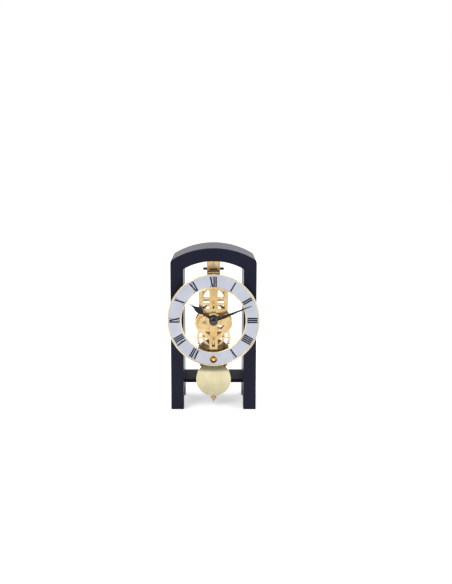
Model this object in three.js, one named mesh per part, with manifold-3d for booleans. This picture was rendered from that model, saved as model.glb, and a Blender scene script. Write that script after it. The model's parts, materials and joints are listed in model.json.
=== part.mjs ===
// Table clock: an arched wooden case carries an open brass movement,
// a floating dial ring in front of it and a lens bob swinging below.
// Millimetres, +Z up, front towards -Y, origin under the middle of the clock.
import * as THREE from "three";
import { mergeVertices } from "three/addons/utils/BufferGeometryUtils.js";
import Module from "manifold-3d";

const wasm = await Module();
wasm.setup();

// Fits shared by all pieces
const SEAT_GAP = 0.1;
const RUNNING_GAP = 0.25;
const END_SHAKE = 0.3;

// Case
const CASE_WIDTH = 134;
const CASE_HEIGHT = 257;
const CASE_DEPTH = 98;
const CASE_WALL = 20;
const CROWN_THICKNESS = 20.5;
const CROWN_RADIUS = 124.5;
const SOFFIT_RADIUS = 95;
const SHOULDER_RADIUS = 8;
const FRONT_FOOT = 22;
const REAR_FOOT = 18;
const NOTCH_HEIGHT = 30;
const NOTCH_RADIUS = 8;

// Shelf between the legs
const SHELF_HEIGHT = 36.5;
const SHELF_THICKNESS = 5.4;
const SHELF_FRONT = 28;
const SHELF_REAR = 94;
const SHELF_HOUSING = 3;

// Dial ring and its feet
const DIAL_DROP = 108;
const DIAL_AHEAD = 28;
const DIAL_RADIUS = 71;
const DIAL_BAND = 21.9;
const DIAL_THICKNESS = 1.2;
const DIAL_FOOT_LENGTH = 7.3;
const DIAL_FOOT_RADIUS = 2.9;
const WINDING_HOLE_RADIUS = 5.5;
const WINDING_HOLE_INSET = 9.8;

// Movement plates and pillars, offsets from the dial axis
const PLATE_THICKNESS = 2.5;
const PLATE_SPACING = 25;
const PLATE_HALF_WIDTH = 22.5;
const PLATE_SHOULDER = 6.5;
const TONGUE_HALF_WIDTH = 9.5;
const TONGUE_RISE = 5;
const STEM_HALF_WIDTH = 6.4;
const FRONT_CRESCENT_HALF = 6;
const BACK_CRESCENT_HALF = 4;
const LOWER_PILLAR_X = 34.97;
const UPPER_PILLAR_X = 17.5;
const UPPER_PILLAR_RISE = 56;
const PILLAR_RADIUS = 3.2;
const PILLAR_WAIST = 2.4;
const SPIGOT_RADIUS = 1.8;
const NUT_THICKNESS = 2.6;

// Going train: tooth counts, axis distances and depth behind the front plate
const GREAT_TEETH = 27;
const TRANSFER_TEETH = 36;
const INTERMEDIATE_TEETH = 48;
const CENTRE_LEAVES = 6;
const CENTRE_TEETH = 60;
const THIRD_LEAVES = 6;
const THIRD_TEETH = 72;
const ESCAPE_LEAVES = 6;
const ESCAPE_TEETH = 36;
const GREAT_SHARE = 0.51;
const CENTRE_DISTANCE = 26;
const THIRD_DISTANCE = 23.4;
const INTERMEDIATE_SETBACK = 5;
const GREAT_SETBACK = 11;
const CENTRE_SETBACK = 14;
const THIRD_SETBACK = 18.5;
const ESCAPE_SETBACK = 21.5;
const WHEEL_THICKNESS = 1.5;
const GREAT_THICKNESS = 1.8;
const PINION_MARGIN = 1.2;
const ARBOR_RADIUS = 1.9;
const PIVOT_SHARE = 0.7;
const HUB_RADIUS = 4.4;
const RIM_WIDTH = 2.6;
const SPOKE_WIDTH = 2.4;
const SPOKES = 4;

// Tooth forms, in modules and in shares of the pitch
const WHEEL_TOOTH = { above: 0.95, below: 1.25, tipHalf: 0.1, rootHalf: 0.25 };
const PINION_LEAF = { above: 0.7, below: 1.5, tipHalf: 0.1, rootHalf: 0.17 };

// Barrel, winding work and click
const DRUM_WALL = 1.5;
const DRUM_LENGTH = 9.2;
const CAP_THICKNESS = 1.5;
const BARREL_CORE_RADIUS = 4.5;
const BARREL_ARBOR_RADIUS = 3;
const SPRING_TURNS = 3;
const SPRING_THICKNESS = 0.6;
const WINDING_SQUARE = 4;
const RATCHET_TEETH = 24;
const RATCHET_RADIUS = 9;
const RATCHET_DEPTH = 1.8;
const RATCHET_THICKNESS = 1.6;
const CLICK_ANGLE = 70;
const CLICK_DISTANCE = 15.5;
const CLICK_TIP_ANGLE = 110;
const CLICK_BOSS_RADIUS = 3;
const CLICK_STUD_RADIUS = 1.3;
const CLICK_SPRING_X = 28;
const CLICK_SPRING_RISE = 9.2;

// Motion work
const CANNON_LEAVES = 8;
const MINUTE_TEETH = 24;
const MINUTE_LEAVES = 7;
const HOUR_TEETH = 28;
const MOTION_DISTANCE = 14.4;
const MOTION_ANGLE = 250;
const MOTION_THICKNESS = 1.2;
const MINUTE_WHEEL_LIFT = 1.8;
const HOUR_WHEEL_LIFT = 4.3;
const CENTRE_FRONT_RADIUS = 1.5;
const CANNON_PIPE_RADIUS = 2.5;
const HOUR_PIPE_RADIUS = 3.75;
const MINUTE_STUD_RADIUS = 1;

// Hands, lengths from the dial axis and distances ahead of the dial
const MINUTE_LENGTH = 63;
const HOUR_LENGTH = 45.5;
const MINUTE_TURN = 68;
const HOUR_TURN = 305.7;
const HAND_THICKNESS = 1;
const HOUR_HAND_AHEAD = 3.6;
const MINUTE_HAND_AHEAD = 6.8;
const HAND_NUT_AHEAD = 10.5;
const HAND_NUT_RADIUS = 6.75;

// Escapement
const ESCAPE_RADIUS = 14;
const ESCAPE_TOOTH_DEPTH = 2.8;
const PALLET_SPAN = 8.5;
const PALLET_LIFT = 0.35;
const PALLET_WIDTH = 0.6;
const ANCHOR_THICKNESS = 2;
const CRUTCH_THICKNESS = 1.5;
const CRUTCH_LENGTH = 35;
const CRUTCH_PIN_RADIUS = 0.6;

// Pendulum, hung in its own plane behind the back plate
const PENDULUM_SETBACK = 8.5;
const ROD_RADIUS = 1.4;
const EYE_RADIUS = 3.8;
const EYE_THICKNESS = 2.4;
const SUSPENSION_PIN_RADIUS = 1.4;
const BOB_RADIUS = 27.8;
const BOB_THICKNESS = 11;
const BOB_RIM = 4.6;
const RATING_NUT_RADIUS = 4.6;
const RATING_NUT_HEIGHT = 5;
const RATING_NUT_CONE = 2;
const ROD_TAIL = 3.1;
const BOB_RISE = 8.4;

// Bell on a post of the shelf, its mouth behind the bob
const BELL_RADIUS = 27.6;
const BELL_DEPTH = 15;
const BELL_WALL = 1.2;
const BELL_CROWN_RADIUS = 5;
const BELL_RISE = 40.1;
const BELL_CLEARANCE = 3.3;
const BELL_STUD_RADIUS = 2;
const BELL_SHOULDER = 1.6;
const BELL_NUT_RADIUS = 4;
const BELL_NUT_THICKNESS = 2.2;
const BELL_POST_RADIUS = 3;
const BELL_POST_SETBACK = 6;
const BELL_FOOT_RADIUS = 7;
const BELL_FOOT_THICKNESS = 2;

// Bracket under the arch
const BRACKET_HALF_WIDTH = 10.2;
const BRACKET_DROP = 10.4;
const BRACKET_SLOT = 5.9;
const BRACKET_ROOM = 11.5;
const BRACKET_WALL = 7;
const BRACKET_FOOT = 17;
const BRACKET_FOOT_THICKNESS = 4;
const CROSS_BAR_RADIUS = 2;
const CROSS_BAR_HALF_LENGTH = 16.3;

// Depths that follow from the sizes above, measured back from the case front
const FRONT_REACH = DIAL_AHEAD + HAND_NUT_AHEAD;
const CASE_FRONT = (FRONT_REACH - CASE_DEPTH) / 2;
const DIAL_FRONT = -DIAL_AHEAD;
const DIAL_REAR = DIAL_FRONT + DIAL_THICKNESS;
const PLATE_FRONT = DIAL_REAR + DIAL_FOOT_LENGTH;
const PLATE_REAR = PLATE_FRONT + PLATE_THICKNESS;
const BACK_FRONT = PLATE_REAR + PLATE_SPACING;
const BACK_REAR = BACK_FRONT + PLATE_THICKNESS;
const INTERMEDIATE_Y = PLATE_REAR + INTERMEDIATE_SETBACK;
const GREAT_Y = PLATE_REAR + GREAT_SETBACK;
const CENTRE_Y = PLATE_REAR + CENTRE_SETBACK;
const THIRD_Y = PLATE_REAR + THIRD_SETBACK;
const ESCAPE_Y = PLATE_REAR + ESCAPE_SETBACK;
const PENDULUM_Y = BACK_REAR + PENDULUM_SETBACK;
const RATCHET_Y = PLATE_FRONT - 2 * RUNNING_GAP - RATCHET_THICKNESS;
const MINUTE_WHEEL_Y = PLATE_FRONT - MINUTE_WHEEL_LIFT - MOTION_THICKNESS;
const HOUR_WHEEL_Y = PLATE_FRONT - HOUR_WHEEL_LIFT - MOTION_THICKNESS;
const HOUR_HAND_Y = DIAL_FRONT - HOUR_HAND_AHEAD;
const MINUTE_HAND_Y = DIAL_FRONT - MINUTE_HAND_AHEAD;

// Radii that follow the dial
const DIAL_OPENING = DIAL_RADIUS - DIAL_BAND;
const BARREL_DROP = DIAL_RADIUS - WINDING_HOLE_INSET;
const CRESCENT_RADIUS = BARREL_DROP;
const GREAT_DISTANCE = BARREL_DROP * GREAT_SHARE;

// Heights of the axes, all in one upright line
const DIAL_Z = CASE_HEIGHT - DIAL_DROP;
const BARREL_Z = DIAL_Z - BARREL_DROP;
const INTERMEDIATE_Z = BARREL_Z + GREAT_DISTANCE;
const INTERMEDIATE_DISTANCE = DIAL_Z - INTERMEDIATE_Z;
const THIRD_Z = DIAL_Z + CENTRE_DISTANCE;
const ESCAPE_Z = THIRD_Z + THIRD_DISTANCE;
const PALLET_ANGLE = (PALLET_SPAN * Math.PI) / ESCAPE_TEETH;
const ANCHOR_Z = ESCAPE_Z + ESCAPE_RADIUS / Math.cos(PALLET_ANGLE);
const SOFFIT_Z = CASE_HEIGHT - CROWN_THICKNESS;
const SHELF_TOP = SHELF_HEIGHT + SHELF_THICKNESS;
const BELL_Z = SHELF_TOP + BELL_RISE;

// The bob hangs 172.5 mm below its pin: 8640 beats an hour, as this train needs
const BOB_Z = SHELF_HEIGHT + BOB_RISE;
const ROD_TIP_Z = BOB_Z - BOB_RADIUS - RATING_NUT_HEIGHT - RATING_NUT_CONE - ROD_TAIL;

// Modules from the axis distances
const moduleOf = (distance, wheel, pinion) => (2 * distance) / (wheel + pinion);
const GREAT_MODULE = moduleOf(GREAT_DISTANCE, GREAT_TEETH, TRANSFER_TEETH);
const INTERMEDIATE_MODULE = moduleOf(INTERMEDIATE_DISTANCE, INTERMEDIATE_TEETH, CENTRE_LEAVES);
const CENTRE_MODULE = moduleOf(CENTRE_DISTANCE, CENTRE_TEETH, THIRD_LEAVES);
const THIRD_MODULE = moduleOf(THIRD_DISTANCE, THIRD_TEETH, ESCAPE_LEAVES);
const CANNON_MODULE = moduleOf(MOTION_DISTANCE, MINUTE_TEETH, CANNON_LEAVES);
const HOUR_MODULE = moduleOf(MOTION_DISTANCE, HOUR_TEETH, MINUTE_LEAVES);
const DRUM_RADIUS = (GREAT_TEETH / 2 - WHEEL_TOOTH.below) * GREAT_MODULE - SEAT_GAP;

// Finishes
const finish = (color, roughness, metalness) =>
  new THREE.MeshStandardMaterial({ color, roughness, metalness });
const NAVY = finish(0x26283a, 0.45, 0);
const BRASS = finish(0xe0b86c, 0.25, 1);
const PALE_BRASS = finish(0xe6dcb4, 0.18, 1);
const BELL_BRASS = finish(0x9c8468, 0.3, 1);
const SILVER_WHITE = finish(0xd4d8e6, 0.5, 0.1);
const BLACK = finish(0x1c1e28, 0.35, 0.2);
const STEEL = finish(0x9a9ca0, 0.3, 1);
const DARK_STEEL = finish(0x35343a, 0.45, 1);

const clock = new THREE.Group();
clock.name = "table_clock";
const works = new THREE.Group();
works.position.y = CASE_FRONT;
clock.add(works);

// One named piece, drawn round its own axis and placed by that axis
function place(name, geometry, material, x = 0, z = 0, turn = 0) {
  const mesh = new THREE.Mesh(geometry, material);
  mesh.name = name;
  mesh.position.set(x, 0, z);
  mesh.rotation.y = turn;
  works.add(mesh);
}

const radians = THREE.MathUtils.degToRad;

// Point at a radius and an angle turned clockwise from straight up, seen from the front
const polar = (radius, angle) =>
  new THREE.Vector2(radius * Math.sin(angle), radius * Math.cos(angle));

const ring = (radius, sides, x = 0, z = 0) =>
  Array.from({ length: sides }, (_, i) =>
    polar(radius, (2 * Math.PI * i) / sides).add(new THREE.Vector2(x, z)));

const hole = (radius, sides = 12, x = 0, z = 0) => new THREE.Path(ring(radius, sides, x, z));

const outline = (pairs) => pairs.map(([x, z]) => new THREE.Vector2(x, z));

const opposite = (points) => points.map((p) => new THREE.Vector2(-p.x, p.y));

// A closed outline from its right half, listed from top to bottom
function mirrored(half) {
  const left = opposite(half).reverse();
  return [...half, ...left.filter((p) => Math.abs(p.x) > 1e-6)];
}

// True corners of an outline: no doubled points, none in the middle of a straight edge
function corners(points) {
  const apart = points.filter((p, i) => p.distanceTo(points.at(i - 1)) > 1e-3);
  return apart.filter((p, i) => {
    const before = p.clone().sub(apart.at(i - 1));
    const after = apart[(i + 1) % apart.length].clone().sub(p);
    return Math.abs(before.cross(after)) > 1e-6;
  });
}

// Flat piece: an outline seen from the front, between two depths
function flat(shape, front, rear, curveSegments = 8) {
  const { shape: edge, holes } = shape.extractPoints(curveSegments);
  const facing = THREE.ShapeUtils.isClockWise(edge) ? edge.reverse() : edge;
  const drawn = new THREE.Shape(corners(facing));
  drawn.holes = holes.map((points) => new THREE.Path(corners(points)));
  const settings = { depth: rear - front, bevelEnabled: false };
  const geometry = new THREE.ExtrudeGeometry(drawn, settings);
  geometry.rotateX(Math.PI / 2);
  geometry.translate(0, rear, 0);
  return geometry;
}

// Corners welded, and the flat triangles on a turning axis dropped
function welded(geometry) {
  const bare = geometry.clone();
  bare.deleteAttribute("normal");
  bare.deleteAttribute("uv");
  const merged = mergeVertices(bare, 1e-4);
  const corners = Array.from(merged.index.array);
  const kept = [];
  for (let i = 0; i < corners.length; i += 3) {
    const triangle = corners.slice(i, i + 3);
    if (new Set(triangle).size === 3) {
      kept.push(...triangle);
    }
  }
  merged.setIndex(kept);
  merged.computeVertexNormals();
  return merged;
}

// Turned piece: half a section of [radius, depth] pairs, front to back
function turned(section, sides = 16) {
  const points = section.map(([radius, depth]) => new THREE.Vector2(radius, depth));
  return welded(new THREE.LatheGeometry(points, sides));
}

function solid(geometry) {
  const shell = welded(geometry);
  const vertProperties = new Float32Array(shell.attributes.position.array);
  const triVerts = new Uint32Array(shell.index.array);
  return new wasm.Manifold(new wasm.Mesh({ numProp: 3, vertProperties, triVerts }));
}

function surface(body) {
  const mesh = body.getMesh();
  const geometry = new THREE.BufferGeometry();
  geometry.setAttribute("position", new THREE.BufferAttribute(mesh.vertProperties, 3));
  geometry.setIndex(new THREE.BufferAttribute(mesh.triVerts, 1));
  geometry.computeVertexNormals();
  return geometry;
}

const joined = (first, ...others) =>
  surface(others.reduce((body, other) => body.add(solid(other)), solid(first)));

const cut = (first, ...tools) =>
  surface(tools.reduce((body, tool) => body.subtract(solid(tool)), solid(first)));

// Toothed outline with a tooth at the given turn
function toothed(teeth, module, form, turn) {
  const pitch = (2 * Math.PI) / teeth;
  const pitchRadius = (teeth * module) / 2;
  const tip = pitchRadius + form.above * module;
  const root = pitchRadius - form.below * module;
  const points = [];
  for (let i = 0; i < teeth; i++) {
    const middle = turn + i * pitch;
    points.push(polar(root, middle - form.rootHalf * pitch));
    points.push(polar(tip, middle - form.tipHalf * pitch));
    points.push(polar(tip, middle + form.tipHalf * pitch));
    points.push(polar(root, middle + form.rootHalf * pitch));
  }
  return new THREE.Shape(points);
}

// A lower wheel holds a tooth straight up, an upper pinion a gap straight down
const GAP_DOWN = (teeth) => Math.PI + Math.PI / teeth;

// Openings between the spokes of a wheel
function crossOut(shape, hub, rim) {
  const half = Math.PI / SPOKES;
  const outerHalf = half - Math.asin(SPOKE_WIDTH / 2 / rim);
  const innerHalf = half - Math.asin(SPOKE_WIDTH / 2 / hub);
  for (let i = 0; i < SPOKES; i++) {
    const middle = (2 * i + 1) * half;
    const outer = [-1, -0.4, 0.4, 1].map((s) => polar(rim, middle + s * outerHalf));
    const inner = [1, -1].map((s) => polar(hub, middle + s * innerHalf));
    shape.holes.push(new THREE.Path([...outer, ...inner]));
  }
}

// Spoked train wheel on its arbor seat
function wheel(teeth, module, turn, bore, front, thickness) {
  const shape = toothed(teeth, module, WHEEL_TOOTH, turn);
  const root = (teeth * module) / 2 - WHEEL_TOOTH.below * module;
  shape.holes.push(hole(bore + SEAT_GAP));
  crossOut(shape, HUB_RADIUS, root - RIM_WIDTH);
  return flat(shape, front, front + thickness);
}

const leafRoot = (leaves, module) => (leaves / 2 - PINION_LEAF.below) * module - 0.02;

// Arbor between the plates, a pivot in each
function plainArbor(radius) {
  const pivot = radius * PIVOT_SHARE;
  return turned([
    [0, PLATE_FRONT + END_SHAKE],
    [pivot, PLATE_FRONT + END_SHAKE],
    [pivot, PLATE_REAR + END_SHAKE],
    [radius, PLATE_REAR + END_SHAKE],
    [radius, BACK_FRONT - END_SHAKE],
    [pivot, BACK_FRONT - END_SHAKE],
    [pivot, BACK_REAR - END_SHAKE],
    [0, BACK_REAR - END_SHAKE],
  ], 12);
}

// Arbor with its pinion cut in one piece
function arbor(radius, leaves, module, meshFront, meshThickness) {
  const leavesShape = toothed(leaves, module, PINION_LEAF, GAP_DOWN(leaves));
  const pinion = flat(leavesShape, meshFront - PINION_MARGIN, meshFront + meshThickness + PINION_MARGIN);
  return joined(plainArbor(radius), pinion);
}

const INTERMEDIATE_ARBOR = ARBOR_RADIUS;
const CENTRE_ARBOR = Math.min(ARBOR_RADIUS, leafRoot(CENTRE_LEAVES, INTERMEDIATE_MODULE));
const THIRD_ARBOR = Math.min(ARBOR_RADIUS, leafRoot(THIRD_LEAVES, CENTRE_MODULE));
const ESCAPE_ARBOR = Math.min(ARBOR_RADIUS, leafRoot(ESCAPE_LEAVES, THIRD_MODULE));
const ANCHOR_ARBOR = 1.4;

// Arched case: one portal with rounded shoulders, a notch between the feet of each side
function caseFrame() {
  const half = CASE_WIDTH / 2;
  const inner = half - CASE_WALL;
  const crownCentre = CASE_HEIGHT - CROWN_RADIUS;
  const soffitCentre = SOFFIT_Z - SOFFIT_RADIUS;
  const shoulderX = half - SHOULDER_RADIUS;
  const reach = CROWN_RADIUS - SHOULDER_RADIUS;
  const shoulderZ = crownCentre + Math.sqrt(reach ** 2 - shoulderX ** 2);
  const lean = Math.atan2(shoulderZ - crownCentre, shoulderX);
  const spring = Math.acos(inner / SOFFIT_RADIUS);
  const portal = new THREE.Shape();
  portal.moveTo(half, 0);
  portal.lineTo(half, shoulderZ);
  portal.absarc(shoulderX, shoulderZ, SHOULDER_RADIUS, 0, lean, false);
  portal.absarc(0, crownCentre, CROWN_RADIUS, lean, Math.PI - lean, false);
  portal.absarc(-shoulderX, shoulderZ, SHOULDER_RADIUS, Math.PI - lean, Math.PI, false);
  portal.lineTo(-half, 0);
  portal.lineTo(-inner, 0);
  portal.absarc(0, soffitCentre, SOFFIT_RADIUS, Math.PI - spring, spring, true);
  portal.lineTo(inner, 0);
  portal.closePath();
  return cut(flat(portal, 0, CASE_DEPTH, 7), footNotch(), shelfBoard(SEAT_GAP));
}

// Passage between the front and rear feet, right through both sides
function footNotch() {
  const front = FRONT_FOOT;
  const rear = CASE_DEPTH - REAR_FOOT;
  const crown = NOTCH_HEIGHT - NOTCH_RADIUS;
  const side = new THREE.Shape();
  side.moveTo(front, -1);
  side.lineTo(rear, -1);
  side.absarc(rear - NOTCH_RADIUS, crown, NOTCH_RADIUS, 0, Math.PI / 2, false);
  side.absarc(front + NOTCH_RADIUS, crown, NOTCH_RADIUS, Math.PI / 2, Math.PI, false);
  side.closePath();
  const settings = { depth: 2 * CASE_WIDTH, bevelEnabled: false, curveSegments: 4 };
  const passage = new THREE.ExtrudeGeometry(side, settings);
  passage.rotateX(Math.PI / 2);
  passage.rotateZ(Math.PI / 2);
  passage.translate(-CASE_WIDTH, 0, 0);
  return passage;
}

// Shelf board, let into both sides
function shelfBoard(gap) {
  const width = CASE_WIDTH - 2 * CASE_WALL + 2 * SHELF_HOUSING + 2 * gap;
  const depth = SHELF_REAR - SHELF_FRONT + 2 * gap;
  const board = new THREE.BoxGeometry(width, depth, SHELF_THICKNESS + 2 * gap);
  board.translate(0, (SHELF_FRONT + SHELF_REAR) / 2, SHELF_HEIGHT + SHELF_THICKNESS / 2);
  return board;
}

place("case_frame", caseFrame(), NAVY);
place("shelf", shelfBoard(0), NAVY);

// Bracket: a slotted block behind the back plate with a foot along the arch
function bracketOutline(halfWidth, bottom) {
  const reach = SOFFIT_RADIUS - SEAT_GAP;
  const corner = Math.acos(halfWidth / reach);
  const shape = new THREE.Shape();
  shape.moveTo(-halfWidth, bottom);
  shape.lineTo(halfWidth, bottom);
  shape.absarc(0, SOFFIT_Z - SOFFIT_RADIUS, reach, corner, Math.PI - corner, false);
  shape.closePath();
  return shape;
}

const SLOT_REAR = BACK_REAR + BRACKET_ROOM;
const BLOCK_REAR = SLOT_REAR + BRACKET_WALL;
const CROSS_BAR_Y = SLOT_REAR + BRACKET_WALL / 2;
const CROSS_BAR_Z = ANCHOR_Z + SUSPENSION_PIN_RADIUS + CROSS_BAR_RADIUS + 1.2;

function box(x0, x1, y0, y1, z0, z1) {
  const geometry = new THREE.BoxGeometry(x1 - x0, y1 - y0, z1 - z0);
  geometry.translate((x0 + x1) / 2, (y0 + y1) / 2, (z0 + z1) / 2);
  return geometry;
}

function crossBar(radius, halfLength) {
  const bar = new THREE.CylinderGeometry(radius, radius, 2 * halfLength, 14);
  bar.rotateZ(Math.PI / 2);
  bar.translate(0, CROSS_BAR_Y, CROSS_BAR_Z);
  return bar;
}

function hangerBracket() {
  const bottom = ANCHOR_Z - BRACKET_DROP;
  const footBottom = SOFFIT_Z - BRACKET_FOOT_THICKNESS;
  const block = flat(bracketOutline(BRACKET_HALF_WIDTH, bottom), BACK_REAR, BLOCK_REAR, 4);
  const foot = flat(bracketOutline(BRACKET_HALF_WIDTH, footBottom), BACK_REAR, BLOCK_REAR + BRACKET_FOOT, 4);
  const slotTop = ANCHOR_Z + EYE_RADIUS + 3;
  const slot = box(-BRACKET_SLOT, BRACKET_SLOT, BACK_REAR - 1, SLOT_REAR, bottom - 1, slotTop);
  const notch = new THREE.Shape(outline([[-2, SOFFIT_Z + 1], [0, SOFFIT_Z - 4.5], [2, SOFFIT_Z + 1]]));
  const pinHole = turned([
    [0, SLOT_REAR - 1],
    [SUSPENSION_PIN_RADIUS + SEAT_GAP, SLOT_REAR - 1],
    [SUSPENSION_PIN_RADIUS + SEAT_GAP, SLOT_REAR + 4],
    [0, SLOT_REAR + 4],
  ], 14);
  pinHole.translate(0, 0, ANCHOR_Z);
  const body = joined(block, foot);
  return cut(body, slot, flat(notch, BACK_REAR - 1, BACK_REAR + 5), pinHole,
    crossBar(CROSS_BAR_RADIUS + SEAT_GAP, CASE_WIDTH));
}

// Headed pin in the bracket, in line with the anchor arbor
function suspensionPin() {
  const eyeFront = PENDULUM_Y - EYE_THICKNESS / 2;
  return turned([
    [0, eyeFront - 2],
    [SUSPENSION_PIN_RADIUS + 1, eyeFront - 2],
    [SUSPENSION_PIN_RADIUS + 1, eyeFront - 0.6],
    [SUSPENSION_PIN_RADIUS, eyeFront - 0.6],
    [SUSPENSION_PIN_RADIUS, SLOT_REAR + 3.7],
    [0, SLOT_REAR + 3.7],
  ], 14);
}

place("hanger_bracket", hangerBracket(), BRASS);
place("cross_bar", crossBar(CROSS_BAR_RADIUS, CROSS_BAR_HALF_LENGTH), DARK_STEEL);
place("suspension_pin", suspensionPin(), STEEL, 0, ANCHOR_Z);

// Plates share one outline: a tongue up to the anchor, square shoulders, round lobes,
// a V down to a stem, and a crescent that lies hidden behind the dial ring
const PLATE_TOP = ANCHOR_Z - DIAL_Z + TONGUE_RISE;
const CRESCENT_END = Math.asin(LOWER_PILLAR_X / CRESCENT_RADIUS);
const LOWER_PILLAR = polar(CRESCENT_RADIUS, Math.PI - CRESCENT_END);
const PILLARS = [
  [UPPER_PILLAR_X, UPPER_PILLAR_RISE],
  [-UPPER_PILLAR_X, UPPER_PILLAR_RISE],
  [LOWER_PILLAR.x, LOWER_PILLAR.y],
  [-LOWER_PILLAR.x, LOWER_PILLAR.y],
];

function plateOutline(crescentHalf) {
  const inner = CRESCENT_RADIUS - crescentHalf;
  const outer = CRESCENT_RADIUS + crescentHalf;
  const stemAngle = -Math.PI / 2 + Math.asin(STEM_HALF_WIDTH / inner);
  const endAngle = -Math.PI / 2 + CRESCENT_END;
  const wide = PLATE_HALF_WIDTH;
  const half = new THREE.Shape();
  const tongue = TONGUE_HALF_WIDTH;
  const shoulder = UPPER_PILLAR_RISE + PLATE_SHOULDER;
  half.moveTo(0, PLATE_TOP);
  half.lineTo(tongue - 3, PLATE_TOP);
  half.quadraticCurveTo(tongue, PLATE_TOP, tongue, PLATE_TOP - 3);
  half.lineTo(tongue, shoulder);
  half.lineTo(wide - 6, shoulder);
  half.quadraticCurveTo(wide, shoulder, wide, shoulder - 6);
  half.lineTo(wide, 24);
  half.quadraticCurveTo(wide, 16, wide - 2, 12);
  half.quadraticCurveTo(wide, 6, wide + 3.5, 2);
  half.quadraticCurveTo(wide + 8, -4, wide + 5.5, -11);
  half.quadraticCurveTo(wide + 2.5, -17, wide - 3, -21);
  half.lineTo(STEM_HALF_WIDTH, -33);
  half.absarc(0, 0, inner, stemAngle, endAngle, false);
  half.absarc(LOWER_PILLAR.x, LOWER_PILLAR.y, crescentHalf, endAngle + Math.PI, endAngle, true);
  half.absarc(0, 0, outer, endAngle, -Math.PI / 2, true);
  return new THREE.Shape(mirrored(half.getPoints(3)));
}

// Bores on the shared axes: barrel, intermediate, centre, third, escape, anchor and the pillars
function pierce(shape, centreBore) {
  const running = (radius) => radius * PIVOT_SHARE + RUNNING_GAP;
  shape.holes.push(hole(BARREL_ARBOR_RADIUS * PIVOT_SHARE + RUNNING_GAP, 14, 0, BARREL_Z - DIAL_Z));
  shape.holes.push(hole(running(INTERMEDIATE_ARBOR), 8, 0, INTERMEDIATE_Z - DIAL_Z));
  shape.holes.push(hole(centreBore, 12));
  shape.holes.push(hole(running(THIRD_ARBOR), 8, 0, THIRD_Z - DIAL_Z));
  shape.holes.push(hole(running(ESCAPE_ARBOR), 8, 0, ESCAPE_Z - DIAL_Z));
  shape.holes.push(hole(running(ANCHOR_ARBOR), 8, 0, ANCHOR_Z - DIAL_Z));
  for (const [x, z] of PILLARS) {
    shape.holes.push(hole(SPIGOT_RADIUS + 2 * SEAT_GAP, 8, x, z));
  }
}

const CLICK_PIVOT = polar(CLICK_DISTANCE, radians(CLICK_ANGLE));
const MINUTE_STUD = polar(MOTION_DISTANCE, radians(MOTION_ANGLE));
const CLICK_X = CLICK_PIVOT.x;
const CLICK_Z = BARREL_Z + CLICK_PIVOT.y;

// Windows of the front plate, right half, top to bottom
const FRONT_WINDOWS = [
  [[6.5, 34], [16.5, 34], [16.5, 43], [14.5, 46.5], [11.5, 47.8], [8.5, 46.5], [6.5, 43]],
  [[6.5, 25.5], [15.5, 25.5], [15.5, 31], [6.5, 31]],
  [[7, 16.5], [18, 16.5], [16, 22.5], [7, 22.5]],
  [[5, 10.5], [15.5, 10.5], [16.8, 5], [8.5, 3.5]],
  [[6, -9], [17, -9], [12.5, -15.5], [6, -15.5]],
  [[5.5, -19], [13.5, -19], [5.5, -26.5]],
];

// Windows of the back plate, right half
const BACK_WINDOWS = [
  [[6.5, 30], [15.5, 30], [15.5, 47], [6.5, 47]],
  [[6.5, 8], [17, 8], [17, 25], [6.5, 25]],
  [[6, -18], [15, -18], [19, -2], [6, -2]],
];

// Both halves of each window, as tools that reach through a plate
function windows(list, front, rear) {
  const shapes = list.map(outline).flatMap((half) => [half, opposite(half)]);
  return shapes.map((points) => flat(new THREE.Shape(points), front - 1, rear + 1));
}

function frontPlate() {
  const shape = plateOutline(FRONT_CRESCENT_HALF);
  pierce(shape, CENTRE_FRONT_RADIUS + RUNNING_GAP);
  shape.holes.push(hole(MINUTE_STUD_RADIUS + SEAT_GAP, 10, MINUTE_STUD.x, MINUTE_STUD.y));
  shape.holes.push(hole(CLICK_STUD_RADIUS + SEAT_GAP, 10, CLICK_X, CLICK_Z - DIAL_Z));
  const stemSlot = box(-2.2, 2.2, PLATE_FRONT - 1, PLATE_REAR + 1, -43, -36);
  const spineSlot = box(-1.2, 1.2, PLATE_FRONT - 1, PLATE_REAR + 1, 17, 21);
  const tools = windows(FRONT_WINDOWS, PLATE_FRONT, PLATE_REAR);
  return cut(flat(shape, PLATE_FRONT, PLATE_REAR), stemSlot, spineSlot, ...tools);
}

function backPlate() {
  const shape = plateOutline(BACK_CRESCENT_HALF);
  pierce(shape, CENTRE_ARBOR * PIVOT_SHARE + RUNNING_GAP);
  const tools = windows(BACK_WINDOWS, BACK_FRONT, BACK_REAR);
  return cut(flat(shape, BACK_FRONT, BACK_REAR), ...tools);
}

// Turned pillar with a spigot through each plate
function pillar() {
  return turned([
    [0, PLATE_FRONT - 3],
    [SPIGOT_RADIUS, PLATE_FRONT - 3],
    [SPIGOT_RADIUS, PLATE_REAR],
    [PILLAR_RADIUS, PLATE_REAR],
    [PILLAR_RADIUS, PLATE_REAR + 4],
    [PILLAR_WAIST, PLATE_REAR + 6],
    [PILLAR_WAIST, BACK_FRONT - 6],
    [PILLAR_RADIUS, BACK_FRONT - 4],
    [PILLAR_RADIUS, BACK_FRONT],
    [SPIGOT_RADIUS, BACK_FRONT],
    [SPIGOT_RADIUS, BACK_REAR + NUT_THICKNESS + 0.6],
    [0, BACK_REAR + NUT_THICKNESS + 0.6],
  ], 8);
}

function pillarNut() {
  const shape = new THREE.Shape(ring(PILLAR_RADIUS + 0.4, 6));
  shape.holes.push(hole(SPIGOT_RADIUS + 2 * SEAT_GAP, 8));
  return flat(shape, BACK_REAR, BACK_REAR + NUT_THICKNESS);
}

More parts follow.
